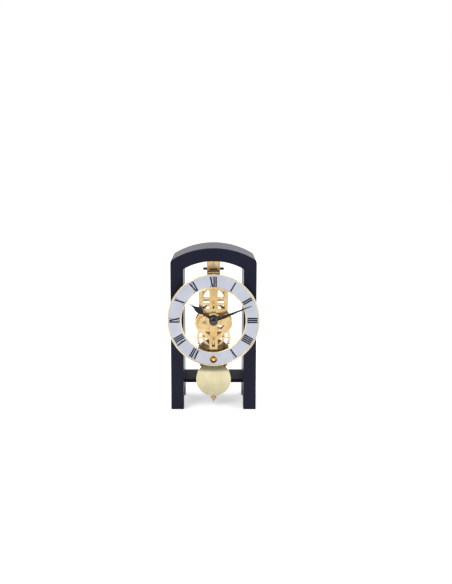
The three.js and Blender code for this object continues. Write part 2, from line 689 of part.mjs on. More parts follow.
// Dial foot, threaded over the front spigot of its pillar
function dialFoot() {
  return turned([
    [0, DIAL_REAR],
    [DIAL_FOOT_RADIUS, DIAL_REAR],
    [DIAL_FOOT_RADIUS, PLATE_FRONT],
    [SPIGOT_RADIUS + 2 * SEAT_GAP, PLATE_FRONT],
    [SPIGOT_RADIUS + 2 * SEAT_GAP, PLATE_FRONT - 3.3],
    [0, PLATE_FRONT - 3.3],
  ], 8);
}

place("front_plate", frontPlate(), BRASS, 0, DIAL_Z);
place("back_plate", backPlate(), BRASS, 0, DIAL_Z);
PILLARS.forEach(([x, z], i) => {
  place(`pillar_${i + 1}`, pillar(), BRASS, x, DIAL_Z + z);
  place(`pillar_nut_${i + 1}`, pillarNut(), BRASS, x, DIAL_Z + z);
  place(`dial_foot_${i + 1}`, dialFoot(), BRASS, x, DIAL_Z + z);
});

// Dial ring with its winding hole
function dialRing() {
  const shape = new THREE.Shape(ring(DIAL_RADIUS, 72));
  shape.holes.push(hole(DIAL_OPENING, 60));
  shape.holes.push(hole(WINDING_HOLE_RADIUS, 16, 0, -BARREL_DROP));
  return flat(shape, DIAL_FRONT, DIAL_REAR);
}

place("dial_ring", dialRing(), SILVER_WHITE, 0, DIAL_Z);

// Barrel: toothed front disc, drum, rear cap and the coiled spring inside
const BARREL_BORE = BARREL_ARBOR_RADIUS + RUNNING_GAP;
const DRUM_Y = GREAT_Y + GREAT_THICKNESS;
const CAP_Y = DRUM_Y + DRUM_LENGTH;

function greatWheel() {
  const shape = toothed(GREAT_TEETH, GREAT_MODULE, WHEEL_TOOTH, 0);
  shape.holes.push(hole(BARREL_BORE, 14));
  return flat(shape, GREAT_Y, DRUM_Y);
}

function barrelDrum() {
  const shape = new THREE.Shape(ring(DRUM_RADIUS, 36));
  shape.holes.push(hole(DRUM_RADIUS - DRUM_WALL, 36));
  return flat(shape, DRUM_Y, CAP_Y);
}

function barrelCap() {
  const shape = new THREE.Shape(ring(DRUM_RADIUS, 36));
  shape.holes.push(hole(BARREL_BORE, 14));
  return flat(shape, CAP_Y, CAP_Y + CAP_THICKNESS);
}

function mainspring() {
  const inside = BARREL_CORE_RADIUS + 2 * RUNNING_GAP;
  const outside = DRUM_RADIUS - DRUM_WALL - SPRING_THICKNESS - SEAT_GAP;
  const steps = 12 * SPRING_TURNS;
  const outer = [];
  const inner = [];
  for (let i = 0; i <= steps; i++) {
    const angle = (2 * Math.PI * SPRING_TURNS * i) / steps;
    const radius = inside + ((outside - inside) * i) / steps;
    outer.push(polar(radius + SPRING_THICKNESS, angle));
    inner.push(polar(radius, angle));
  }
  const strip = new THREE.Shape([...outer, ...inner.reverse()]);
  return flat(strip, DRUM_Y + END_SHAKE, CAP_Y - END_SHAKE);
}

place("great_wheel", greatWheel(), BRASS, 0, BARREL_Z);
place("barrel_drum", barrelDrum(), BRASS, 0, BARREL_Z);
place("barrel_cap", barrelCap(), BRASS, 0, BARREL_Z);
place("mainspring", mainspring(), STEEL, 0, BARREL_Z);

// Winding arbor: a square in front for the key, a core for the spring
function windingArbor() {
  const pivot = BARREL_ARBOR_RADIUS * PIVOT_SHARE;
  const shaft = turned([
    [0, PLATE_FRONT - RUNNING_GAP],
    [pivot, PLATE_FRONT - RUNNING_GAP],
    [pivot, PLATE_REAR + END_SHAKE],
    [BARREL_ARBOR_RADIUS, PLATE_REAR + END_SHAKE],
    [BARREL_ARBOR_RADIUS, DRUM_Y + END_SHAKE],
    [BARREL_CORE_RADIUS, DRUM_Y + END_SHAKE],
    [BARREL_CORE_RADIUS, CAP_Y - END_SHAKE],
    [BARREL_ARBOR_RADIUS, CAP_Y - END_SHAKE],
    [BARREL_ARBOR_RADIUS, BACK_FRONT - END_SHAKE],
    [pivot, BACK_FRONT - END_SHAKE],
    [pivot, BACK_REAR - END_SHAKE],
    [0, BACK_REAR - END_SHAKE],
  ], 14);
  const s = WINDING_SQUARE / 2;
  return joined(shaft, box(-s, s, DIAL_FRONT, PLATE_FRONT - RUNNING_GAP, -s, s));
}

const CLICK_PITCH = (2 * Math.PI) / RATCHET_TEETH;
const CLICK_FACE = radians(CLICK_TIP_ANGLE) + 0.12 * CLICK_PITCH;

// Saw-toothed ratchet on the square, steep faces against the click
function ratchetWheel() {
  const points = [];
  for (let i = 0; i < RATCHET_TEETH; i++) {
    points.push(polar(RATCHET_RADIUS - RATCHET_DEPTH, CLICK_FACE + i * CLICK_PITCH));
    points.push(polar(RATCHET_RADIUS, CLICK_FACE + i * CLICK_PITCH + 0.01));
  }
  const shape = new THREE.Shape(points);
  const s = WINDING_SQUARE / 2 + SEAT_GAP;
  shape.holes.push(new THREE.Path(outline([[-s, -s], [s, -s], [s, s], [-s, s]])));
  return flat(shape, RATCHET_Y, RATCHET_Y + RATCHET_THICKNESS);
}

// Click: a beak in one ratchet gap, a boss round its screw
function click() {
  const beak = radians(CLICK_TIP_ANGLE);
  const low = RATCHET_RADIUS - RATCHET_DEPTH + 0.55;
  const local = (p) => p.sub(CLICK_PIVOT);
  const tip = local(polar(low, beak));
  const heel = local(polar(RATCHET_RADIUS + 1.4, beak));
  const brow = local(polar(RATCHET_RADIUS + 0.6, beak - 0.9 * CLICK_PITCH));
  const along = Math.atan2(tip.x, tip.y);
  const sides = [-1.9, -1.2, -0.4, 0.4, 1.2, 1.9];
  const boss = sides.map((s) => polar(CLICK_BOSS_RADIUS, along + Math.PI + s));
  const shape = new THREE.Shape([...boss, heel, tip, brow]);
  shape.holes.push(hole(CLICK_STUD_RADIUS + RUNNING_GAP, 12));
  return flat(shape, RATCHET_Y, RATCHET_Y + RATCHET_THICKNESS);
}

function clickScrew() {
  const head = RATCHET_Y - RUNNING_GAP;
  return turned([
    [0, head - 0.9],
    [CLICK_BOSS_RADIUS - 0.6, head - 0.9],
    [CLICK_BOSS_RADIUS - 0.6, head],
    [CLICK_STUD_RADIUS, head],
    [CLICK_STUD_RADIUS, PLATE_REAR],
    [0, PLATE_REAR],
  ], 12);
}

// Leaf spring standing behind the click, on its own foot
function clickSpring() {
  const leaf = new THREE.Shape();
  leaf.moveTo(-0.6, -2);
  leaf.quadraticCurveTo(-1.5, -9.5, -12, -11);
  leaf.lineTo(-12, -11.8);
  leaf.quadraticCurveTo(-0.6, -10.4, 0.8, -2);
  leaf.closePath();
  const foot = flat(new THREE.Shape(ring(2.7, 12)), RATCHET_Y, PLATE_FRONT);
  return joined(foot, flat(leaf, RATCHET_Y, RATCHET_Y + RATCHET_THICKNESS, 6));
}

place("winding_arbor", windingArbor(), STEEL, 0, BARREL_Z);
place("ratchet_wheel", ratchetWheel(), STEEL, 0, BARREL_Z);
place("click", click(), STEEL, CLICK_X, CLICK_Z);
place("click_screw", clickScrew(), STEEL, CLICK_X, CLICK_Z);
place("click_spring", clickSpring(), STEEL, CLICK_SPRING_X, BARREL_Z + CLICK_SPRING_RISE);

// Going train
const transferTurn = GAP_DOWN(TRANSFER_TEETH);

const intermediateGear = () =>
  wheel(TRANSFER_TEETH, GREAT_MODULE, transferTurn, INTERMEDIATE_ARBOR, GREAT_Y, GREAT_THICKNESS);

const intermediateWheel = () =>
  wheel(INTERMEDIATE_TEETH, INTERMEDIATE_MODULE, 0, INTERMEDIATE_ARBOR, INTERMEDIATE_Y, WHEEL_THICKNESS);

const centreWheel = () =>
  wheel(CENTRE_TEETH, CENTRE_MODULE, 0, CENTRE_ARBOR, CENTRE_Y, WHEEL_THICKNESS);

const thirdArbor = () =>
  arbor(THIRD_ARBOR, THIRD_LEAVES, CENTRE_MODULE, CENTRE_Y, WHEEL_THICKNESS);

const thirdWheel = () =>
  wheel(THIRD_TEETH, THIRD_MODULE, 0, THIRD_ARBOR, THIRD_Y, WHEEL_THICKNESS);

const escapeArbor = () =>
  arbor(ESCAPE_ARBOR, ESCAPE_LEAVES, THIRD_MODULE, THIRD_Y, WHEEL_THICKNESS);

// The centre arbor runs on through the front plate to the hands
function centreArbor() {
  const pivot = CENTRE_ARBOR * PIVOT_SHARE;
  const shaft = turned([
    [0, MINUTE_HAND_Y - 2.2],
    [CENTRE_FRONT_RADIUS, MINUTE_HAND_Y - 2.2],
    [CENTRE_FRONT_RADIUS, PLATE_REAR + END_SHAKE],
    [CENTRE_ARBOR, PLATE_REAR + END_SHAKE],
    [CENTRE_ARBOR, BACK_FRONT - END_SHAKE],
    [pivot, BACK_FRONT - END_SHAKE],
    [pivot, BACK_REAR - END_SHAKE],
    [0, BACK_REAR - END_SHAKE],
  ], 12);
  const leaves = toothed(CENTRE_LEAVES, INTERMEDIATE_MODULE, PINION_LEAF, GAP_DOWN(CENTRE_LEAVES));
  const front = INTERMEDIATE_Y - PINION_MARGIN;
  const rear = INTERMEDIATE_Y + WHEEL_THICKNESS + PINION_MARGIN;
  return joined(shaft, flat(leaves, front, rear));
}

// Escape wheel: narrow teeth, steep in front and sloped behind
function escapeWheel() {
  const pitch = (2 * Math.PI) / ESCAPE_TEETH;
  const root = ESCAPE_RADIUS - ESCAPE_TOOTH_DEPTH;
  const points = [];
  for (let i = 0; i < ESCAPE_TEETH; i++) {
    const middle = i * pitch;
    points.push(polar(root, middle - 0.22 * pitch));
    points.push(polar(ESCAPE_RADIUS, middle));
    points.push(polar(root, middle + 0.16 * pitch));
  }
  const shape = new THREE.Shape(points);
  shape.holes.push(hole(ESCAPE_ARBOR + SEAT_GAP));
  crossOut(shape, HUB_RADIUS - 1.2, root - 1.6);
  return flat(shape, ESCAPE_Y, ESCAPE_Y + WHEEL_THICKNESS);
}

place("intermediate_arbor", plainArbor(INTERMEDIATE_ARBOR), STEEL, 0, INTERMEDIATE_Z);
place("intermediate_gear", intermediateGear(), BRASS, 0, INTERMEDIATE_Z);
place("intermediate_wheel", intermediateWheel(), BRASS, 0, INTERMEDIATE_Z);
place("centre_arbor", centreArbor(), STEEL, 0, DIAL_Z);
place("centre_wheel", centreWheel(), BRASS, 0, DIAL_Z);
place("third_arbor", thirdArbor(), STEEL, 0, THIRD_Z);
place("third_wheel", thirdWheel(), BRASS, 0, THIRD_Z);
place("escape_arbor", escapeArbor(), STEEL, 0, ESCAPE_Z);
place("escape_wheel", escapeWheel(), BRASS, 0, ESCAPE_Z);

// Motion work: cannon pinion, minute wheel and hour wheel
const CANNON_FRONT = MINUTE_HAND_Y - SEAT_GAP;
const HOUR_PIPE_FRONT = HOUR_HAND_Y - 2 * SEAT_GAP;
const MOTION_TURN = radians(MOTION_ANGLE);

function tube(inner, outer, front, rear) {
  const shape = new THREE.Shape(ring(outer, 12));
  shape.holes.push(hole(inner, 12));
  return flat(shape, front, rear);
}

function cannonPinion() {
  const shape = toothed(CANNON_LEAVES, CANNON_MODULE, PINION_LEAF, MOTION_TURN);
  const bore = CENTRE_FRONT_RADIUS + SEAT_GAP;
  shape.holes.push(hole(bore, 12));
  const front = MINUTE_WHEEL_Y - 0.4;
  const leaves = flat(shape, front, PLATE_FRONT - 3 * RUNNING_GAP);
  return joined(tube(bore, CANNON_PIPE_RADIUS, CANNON_FRONT, front + 0.1), leaves);
}

function minuteWheel() {
  const meeting = MOTION_TURN + Math.PI;
  const shape = toothed(MINUTE_TEETH, CANNON_MODULE, WHEEL_TOOTH, meeting + Math.PI / MINUTE_TEETH);
  const bore = MINUTE_STUD_RADIUS + RUNNING_GAP;
  shape.holes.push(hole(bore, 12));
  const leaves = toothed(MINUTE_LEAVES, HOUR_MODULE, PINION_LEAF, meeting + Math.PI / MINUTE_LEAVES);
  leaves.holes.push(hole(bore, 12));
  const disc = flat(shape, MINUTE_WHEEL_Y, MINUTE_WHEEL_Y + MOTION_THICKNESS);
  return joined(disc, flat(leaves, HOUR_WHEEL_Y - END_SHAKE, MINUTE_WHEEL_Y + 0.1));
}

function minuteStud() {
  const front = HOUR_WHEEL_Y - 4 * END_SHAKE;
  return turned([
    [0, front],
    [MINUTE_STUD_RADIUS, front],
    [MINUTE_STUD_RADIUS, MINUTE_WHEEL_Y + MOTION_THICKNESS + RUNNING_GAP],
    [MINUTE_STUD_RADIUS + 1.2, MINUTE_WHEEL_Y + MOTION_THICKNESS + RUNNING_GAP],
    [MINUTE_STUD_RADIUS + 1.2, PLATE_FRONT],
    [MINUTE_STUD_RADIUS, PLATE_FRONT],
    [MINUTE_STUD_RADIUS, PLATE_REAR],
    [0, PLATE_REAR],
  ], 12);
}

function hourWheel() {
  const shape = toothed(HOUR_TEETH, HOUR_MODULE, WHEEL_TOOTH, MOTION_TURN);
  const bore = CANNON_PIPE_RADIUS + RUNNING_GAP;
  shape.holes.push(hole(bore, 12));
  const disc = flat(shape, HOUR_WHEEL_Y, HOUR_WHEEL_Y + MOTION_THICKNESS);
  return joined(disc, tube(bore, HOUR_PIPE_RADIUS, HOUR_PIPE_FRONT, HOUR_WHEEL_Y + 0.1));
}

place("cannon_pinion", cannonPinion(), STEEL, 0, DIAL_Z);
place("minute_wheel", minuteWheel(), BRASS, MINUTE_STUD.x, DIAL_Z + MINUTE_STUD.y);
place("minute_stud", minuteStud(), STEEL, MINUTE_STUD.x, DIAL_Z + MINUTE_STUD.y);
place("hour_wheel", hourWheel(), BRASS, 0, DIAL_Z);

// A hand: a round boss with a blade standing straight up, given by its right edge
function hand(blade, bossRadius, neck, bore, front) {
  const start = Math.asin(neck / bossRadius);
  const boss = Array.from({ length: 13 }, (_, i) =>
    polar(bossRadius, start + ((2 * Math.PI - 2 * start) * i) / 12));
  const right = blade.getPoints(6);
  const shape = new THREE.Shape([...boss, ...opposite(right), ...right.reverse()]);
  shape.holes.push(hole(bore, 12));
  return flat(shape, front, front + HAND_THICKNESS);
}

function minuteHand() {
  const blade = new THREE.Path();
  blade.moveTo(1.7, 0.12 * MINUTE_LENGTH);
  blade.quadraticCurveTo(2.9, 0.25 * MINUTE_LENGTH, 1.9, 0.42 * MINUTE_LENGTH);
  blade.lineTo(0.4, MINUTE_LENGTH);
  return hand(blade, 5.2, 1.6, CANNON_PIPE_RADIUS + SEAT_GAP, MINUTE_HAND_Y);
}

function hourHand() {
  const blade = new THREE.Path();
  blade.moveTo(1.3, 0.2 * HOUR_LENGTH);
  blade.lineTo(1.1, 0.42 * HOUR_LENGTH);
  blade.bezierCurveTo(
    5.4, 0.52 * HOUR_LENGTH,
    5.4, 0.66 * HOUR_LENGTH,
    2, 0.78 * HOUR_LENGTH,
  );
  blade.quadraticCurveTo(0.8, 0.86 * HOUR_LENGTH, 0.4, HOUR_LENGTH);
  return hand(blade, 5.6, 1.4, HOUR_PIPE_RADIUS + SEAT_GAP, HOUR_HAND_Y);
}

// Domed nut over the arbor end
function handNut() {
  const front = DIAL_FRONT - HAND_NUT_AHEAD;
  const rear = CANNON_FRONT - SEAT_GAP;
  const bore = CENTRE_FRONT_RADIUS + SEAT_GAP;
  const dome = [0, 22, 45, 68, 90].map((angle) => [
    HAND_NUT_RADIUS * Math.sin(radians(angle)),
    front + 2.6 * (1 - Math.cos(radians(angle))),
  ]);
  const floor = MINUTE_HAND_Y - 2.5;
  return turned([...dome, [HAND_NUT_RADIUS, rear], [bore, rear], [bore, floor], [0, floor]], 18);
}

place("hour_hand", hourHand(), BLACK, 0, DIAL_Z, radians(HOUR_TURN));
place("minute_hand", minuteHand(), BLACK, 0, DIAL_Z, radians(MINUTE_TURN));
place("hand_nut", handNut(), BLACK, 0, DIAL_Z);

// Anchor: two arms bent over the escape wheel, a pallet at each end
function anchor() {
  const drop = ANCHOR_Z - ESCAPE_Z;
  const onWheel = (radius, side) =>
    polar(radius, PALLET_ANGLE + side / radius).sub(new THREE.Vector2(0, drop));
  const tip = ESCAPE_RADIUS + PALLET_LIFT;
  const half = PALLET_WIDTH / 2;
  const arm = [
    new THREE.Vector2(0, 3.8),
    new THREE.Vector2(2.8, 3.2),
    onWheel(tip + 4.6, 0.6),
    onWheel(tip + 2.8, 1.1),
    onWheel(tip, half),
    onWheel(tip, -half),
    onWheel(tip + 2.6, -0.9),
    new THREE.Vector2(2.6, -3),
    new THREE.Vector2(0, -3.8),
  ];
  const shape = new THREE.Shape(mirrored(arm));
  shape.holes.push(hole(ANCHOR_ARBOR + SEAT_GAP, 12));
  const spare = (ANCHOR_THICKNESS - WHEEL_THICKNESS) / 2;
  return flat(shape, ESCAPE_Y - spare, ESCAPE_Y + WHEEL_THICKNESS + spare);
}

const CRUTCH_Y = BACK_REAR + 2 * RUNNING_GAP;

function anchorArbor() {
  const pivot = ANCHOR_ARBOR * PIVOT_SHARE;
  return turned([
    [0, PLATE_FRONT + END_SHAKE],
    [pivot, PLATE_FRONT + END_SHAKE],
    [pivot, PLATE_REAR + END_SHAKE],
    [ANCHOR_ARBOR, PLATE_REAR + END_SHAKE],
    [ANCHOR_ARBOR, BACK_FRONT - END_SHAKE],
    [pivot, BACK_FRONT - END_SHAKE],
    [pivot, CRUTCH_Y + CRUTCH_THICKNESS + 0.5],
    [0, CRUTCH_Y + CRUTCH_THICKNESS + 0.5],
  ], 12);
}

// Crutch: a strip down from the anchor arbor, two pins embracing the rod
function crutch() {
  const rear = CRUTCH_Y + CRUTCH_THICKNESS;
  const reach = ROD_RADIUS + RUNNING_GAP + CRUTCH_PIN_RADIUS;
  const half = reach + CRUTCH_PIN_RADIUS + 0.4;
  const start = Math.asin(1.6 / 3.2);
  const hub = [0, 1, 2, 3, 4].map((i) => polar(3.2, ((Math.PI - start) * i) / 4));
  const end = outline([[1.6, -CRUTCH_LENGTH + 6], [half, -CRUTCH_LENGTH + 3], [half, -CRUTCH_LENGTH - 2]]);
  const shape = new THREE.Shape(mirrored([...hub, ...end]));
  shape.holes.push(hole(ANCHOR_ARBOR * PIVOT_SHARE + SEAT_GAP, 12));
  const strip = flat(shape, CRUTCH_Y, rear);
  const pins = [-reach, reach].map((x) => {
    const pin = new THREE.Shape(ring(CRUTCH_PIN_RADIUS, 8, x, -CRUTCH_LENGTH));
    return flat(pin, rear - 0.5, PENDULUM_Y + ROD_RADIUS + 1.5);
  });
  return joined(strip, ...pins);
}

place("anchor", anchor(), STEEL, 0, ANCHOR_Z);
place("anchor_arbor", anchorArbor(), STEEL, 0, ANCHOR_Z);
place("crutch", crutch(), BRASS, 0, ANCHOR_Z);

// An upright turned piece: half a section of [radius, height] pairs, bottom to top
function upright(section, sides, depth = PENDULUM_Y) {
  const geometry = turned(section, sides);
  geometry.rotateX(Math.PI / 2);
  geometry.translate(0, depth, 0);
  return geometry;
}

// Rod with an eye on the suspension pin and a pointed lower end
function pendulumRod() {
  const eye = new THREE.Shape(ring(EYE_RADIUS, 20));
  eye.holes.push(hole(SUSPENSION_PIN_RADIUS + RUNNING_GAP, 14));
  const loop = flat(eye, PENDULUM_Y - EYE_THICKNESS / 2, PENDULUM_Y + EYE_THICKNESS / 2);
  const bottom = ROD_TIP_Z - ANCHOR_Z;
  const rod = upright([
    [0, bottom],
    [ROD_RADIUS, bottom + 2.4],
    [ROD_RADIUS, -EYE_RADIUS + 1],
    [0, -EYE_RADIUS + 1],
  ], 12);
  return joined(loop, rod);
}

// Lens bob, bored from top to bottom for the rod
function bob() {
  const rim = BOB_RIM / 2;
  const sag = BOB_THICKNESS / 2 - rim;
  const dome = [0, 0.3, 0.55, 0.78, 0.94, 1].map((share) => [
    BOB_RADIUS * share,
    -rim - sag * (1 - share ** 2),
  ]);
  const back = dome.map(([radius, depth]) => [radius, -depth]).reverse();
  const lens = turned([...dome, ...back], 32);
  lens.translate(0, PENDULUM_Y, 0);
  const bore = upright([
    [0, -2 * BOB_RADIUS],
    [ROD_RADIUS + SEAT_GAP, -2 * BOB_RADIUS],
    [ROD_RADIUS + SEAT_GAP, 2 * BOB_RADIUS],
    [0, 2 * BOB_RADIUS],
  ], 12);
  return cut(lens, bore);
}

// Round nut under the bob, closing to a small cone
function ratingNut() {
  const top = -BOB_RADIUS - SEAT_GAP;
  const bore = ROD_RADIUS + SEAT_GAP;
  return upright([
    [bore, top - RATING_NUT_HEIGHT - RATING_NUT_CONE],
    [bore + 0.7, top - RATING_NUT_HEIGHT - RATING_NUT_CONE],
    [RATING_NUT_RADIUS * 0.6, top - RATING_NUT_HEIGHT],
    [RATING_NUT_RADIUS, top - RATING_NUT_HEIGHT + 1],
    [RATING_NUT_RADIUS, top - 1],
    [RATING_NUT_RADIUS * 0.7, top],
    [bore, top],
    [bore, top - RATING_NUT_HEIGHT - RATING_NUT_CONE],
  ], 20);
}

place("pendulum_rod", pendulumRod(), BRASS, 0, ANCHOR_Z);
place("bob", bob(), PALE_BRASS, 0, BOB_Z);
place("rating_nut", ratingNut(), BRASS, 0, BOB_Z);

// Bell: an open cup facing the bob, held at its crown
const BELL_MOUTH_Y = PENDULUM_Y + BOB_THICKNESS / 2 + BELL_CLEARANCE;
const BELL_CROWN_Y = BELL_MOUTH_Y + BELL_DEPTH;
const BELL_SEAT_Y = BELL_CROWN_Y - BELL_WALL;
const BELL_POST_Y = BELL_CROWN_Y + BELL_POST_SETBACK;

function bell() {
  const bore = BELL_STUD_RADIUS + SEAT_GAP;
  const bow = (radius, depth) => [90, 70, 50, 32, 18].map((angle) => [
    radius * Math.sin(radians(angle)),
    BELL_MOUTH_Y + depth * Math.cos(radians(angle)),
  ]);
  const outside = bow(BELL_RADIUS, BELL_DEPTH);
  const inside = bow(BELL_RADIUS - BELL_WALL, BELL_DEPTH - BELL_WALL).reverse();
  return turned([
    [bore, BELL_SEAT_Y],
    [BELL_CROWN_RADIUS, BELL_SEAT_Y],
    ...inside,
    ...outside,
    [BELL_CROWN_RADIUS, BELL_CROWN_Y],
    [bore, BELL_CROWN_Y],
    [bore, BELL_SEAT_Y],
  ], 28);
}

// Post screwed down on the shelf, with a stud forward through the crown
function bellPost() {
  const footTop = SHELF_TOP + BELL_FOOT_THICKNESS;
  const post = upright([
    [0, SHELF_TOP],
    [BELL_FOOT_RADIUS, SHELF_TOP],
    [BELL_FOOT_RADIUS, footTop],
    [BELL_POST_RADIUS, footTop + 1.5],
    [BELL_POST_RADIUS, BELL_Z + 4],
    [0, BELL_Z + 5.5],
  ], 14, BELL_POST_Y);
  const front = BELL_SEAT_Y - BELL_NUT_THICKNESS - 0.8;
  const stud = turned([
    [0, front],
    [BELL_STUD_RADIUS, front],
    [BELL_STUD_RADIUS, BELL_CROWN_Y],
    [BELL_STUD_RADIUS + BELL_SHOULDER, BELL_CROWN_Y],
    [BELL_STUD_RADIUS, BELL_POST_Y],
    [0, BELL_POST_Y],
  ], 12);
  stud.translate(0, 0, BELL_Z);
  return joined(post, stud);
}

function bellNut() {
  const shape = new THREE.Shape(ring(BELL_NUT_RADIUS, 6));
  shape.holes.push(hole(BELL_STUD_RADIUS + 2 * SEAT_GAP, 12));
  return flat(shape, BELL_SEAT_Y - BELL_NUT_THICKNESS, BELL_SEAT_Y);
}

place("bell", bell(), BELL_BRASS, 0, BELL_Z);
place("bell_post", bellPost(), BRASS);
place("bell_nut", bellNut(), BRASS, 0, BELL_Z);

export default clock;
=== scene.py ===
# Table clock: an arched lacquered case, an open brass movement with a floating
# dial ring in front of it, and a lens bob swinging below. Metres, front towards -Y.
import json
import math

import bmesh
import bpy
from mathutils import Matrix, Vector

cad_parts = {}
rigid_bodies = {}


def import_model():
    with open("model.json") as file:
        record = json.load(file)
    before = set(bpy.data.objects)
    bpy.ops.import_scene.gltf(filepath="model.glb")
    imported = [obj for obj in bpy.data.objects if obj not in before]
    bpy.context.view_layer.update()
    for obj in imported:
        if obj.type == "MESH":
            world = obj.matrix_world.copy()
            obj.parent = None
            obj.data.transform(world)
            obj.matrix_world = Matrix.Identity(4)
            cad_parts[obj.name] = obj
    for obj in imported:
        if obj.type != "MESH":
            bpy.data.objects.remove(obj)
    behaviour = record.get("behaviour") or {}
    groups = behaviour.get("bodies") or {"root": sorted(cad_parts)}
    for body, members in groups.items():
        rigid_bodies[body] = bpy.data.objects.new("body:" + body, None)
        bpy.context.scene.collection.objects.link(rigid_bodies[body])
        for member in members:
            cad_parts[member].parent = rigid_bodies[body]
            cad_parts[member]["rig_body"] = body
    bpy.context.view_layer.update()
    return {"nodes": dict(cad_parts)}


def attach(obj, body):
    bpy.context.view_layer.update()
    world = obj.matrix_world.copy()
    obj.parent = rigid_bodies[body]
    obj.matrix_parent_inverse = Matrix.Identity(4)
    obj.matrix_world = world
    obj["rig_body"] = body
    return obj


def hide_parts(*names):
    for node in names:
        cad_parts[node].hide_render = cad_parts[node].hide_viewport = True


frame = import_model()


# Case: one arched portal, glued up from wood and sprayed with satin navy lacquer.
# Its edges are eased by hand, a notch parts the front and rear foot of each side,
# and a housing in each side takes the shelf.
MM = 0.001
CASE_HALF = 67.0
CASE_INSIDE = 47.0
CASE_FRONT = -29.75
CASE_REAR = 68.25
CASE_TOP = 257.0
CROWN_RADIUS = 124.5
SOFFIT_TOP = 236.5
SOFFIT_RADIUS = 95.0
SHOULDER_RADIUS = 8.0
NOTCH_FRONT = CASE_FRONT + 22.0
NOTCH_REAR = CASE_REAR - 18.0
NOTCH_HEIGHT = 30.0
NOTCH_RADIUS = 8.0
NOTCH_FOOT = -5.0
CASE_EDGE = 1.1


def arc(x, z, radius, start, end, steps):
    """Points of an arc in an upright plane, angles in radians from the right."""
    turns = [start + (end - start) * i / steps for i in range(steps + 1)]
    return [(x + radius * math.cos(a), z + radius * math.sin(a)) for a in turns]


def linked(name, mesh):
    piece = bpy.data.objects.new(name, mesh)
    bpy.context.scene.collection.objects.link(piece)
    return piece


def prism(name, outline, start, end, across="Y"):
    """An upright outline in millimetres, carried along Y or X from start to end."""
    bm = bmesh.new()
    ends = []
    for depth in (start, end):
        spots = [(a, depth, b) if across == "Y" else (depth, a, b) for a, b in outline]
        ends.append([bm.verts.new(Vector(spot) * MM) for spot in spots])
    bm.faces.new(ends[0])
    bm.faces.new(reversed(ends[1]))
    for i in range(len(outline)):
        bm.faces.new((ends[0][i - 1], ends[1][i - 1], ends[1][i], ends[0][i]))
    bmesh.ops.recalc_face_normals(bm, faces=bm.faces)
    mesh = bpy.data.meshes.new(name)
    bm.to_mesh(mesh)
    bm.free()
    return linked(name, mesh)


def set_in(piece):
    """Makes a piece's modifiers part of its mesh."""
    graph = bpy.context.evaluated_depsgraph_get()
    mesh = bpy.data.meshes.new_from_object(piece.evaluated_get(graph))
    piece.modifiers.clear()
    piece.data = mesh
    return piece


def cut_away(piece, tool):
    cut = piece.modifiers.new("cut", "BOOLEAN")
    cut.operation = "DIFFERENCE"
    cut.solver = "EXACT"
    cut.object = tool
    set_in(piece)
    bpy.data.objects.remove(tool)


def ease(piece, width, segments=3, angle=35):
    """Rounds the sharp edges of a piece, width in millimetres."""
    bevel = piece.modifiers.new("ease", "BEVEL")
    bevel.width = width * MM
    bevel.segments = segments
    bevel.limit_method = "ANGLE"
    bevel.angle_limit = math.radians(angle)
    set_in(piece)


def smooth(piece, angle=30):
    """Smooth shading that keeps sharp edges, and flat faces flat up to their rounding."""
    piece.data.shade_smooth()
    piece.data.set_sharp_from_angle(angle=math.radians(angle))
    level = piece.modifiers.new("level", "WEIGHTED_NORMAL")
    level.keep_sharp = True
    return set_in(piece)


def finished(piece, finish, body, slot, *nodes):
    """Gives a piece its finish and its moving body, and hides the solids it stands for; the slot is not
    used.
    """
    piece.data.materials.clear()
    piece.data.materials.append(finish)
    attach(piece, body)
    if nodes:
        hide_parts(*nodes)
    return piece


def portal_outline():
    crown = CASE_TOP - CROWN_RADIUS
    soffit = SOFFIT_TOP - SOFFIT_RADIUS
    shoulder_x = CASE_HALF - SHOULDER_RADIUS
    shoulder_z = crown + math.sqrt((CROWN_RADIUS - SHOULDER_RADIUS) ** 2 - shoulder_x**2)
    lean = math.atan2(shoulder_z - crown, shoulder_x)
    spring = math.acos(CASE_INSIDE / SOFFIT_RADIUS)
    return [
        (CASE_HALF, 0.0),
        *arc(shoulder_x, shoulder_z, SHOULDER_RADIUS, 0, lean, 8),
        *arc(0, crown, CROWN_RADIUS, lean, math.pi - lean, 64)[1:],
        *arc(-shoulder_x, shoulder_z, SHOULDER_RADIUS, math.pi - lean, math.pi, 8)[1:],
        (-CASE_HALF, 0.0),
        (-CASE_INSIDE, 0.0),
        *arc(0, soffit, SOFFIT_RADIUS, math.pi - spring, spring, 48),
        (CASE_INSIDE, 0.0),
    ]


def notch_outline():
    crown = NOTCH_HEIGHT - NOTCH_RADIUS
    return [
        (NOTCH_FRONT, NOTCH_FOOT),
        (NOTCH_REAR, NOTCH_FOOT),
        *arc(NOTCH_REAR - NOTCH_RADIUS, crown, NOTCH_RADIUS, 0, math.pi / 2, 10),
        *arc(NOTCH_FRONT + NOTCH_RADIUS, crown, NOTCH_RADIUS, math.pi / 2, math.pi, 10),
    ]


def add(tree, kind, inputs=None, **settings):
    """One node; an input is a value or the socket that feeds it."""
    node = tree.nodes.new(kind)
    for key, value in settings.items():
        setattr(node, key, value)
    for key, value in (inputs or {}).items():
        if isinstance(value, bpy.types.NodeSocket):
            tree.links.new(value, node.inputs[key])
        else:
            node.inputs[key].default_value = value
    return node


def shade(red, green, blue):
    """A colour as seen, 0 to 255, for a colour socket."""
    parts = [c / 255 for c in (red, green, blue)]
    return (*[p / 12.92 if p <= 0.04045 else ((p + 0.055) / 1.055) ** 2.4 for p in parts], 1.0)


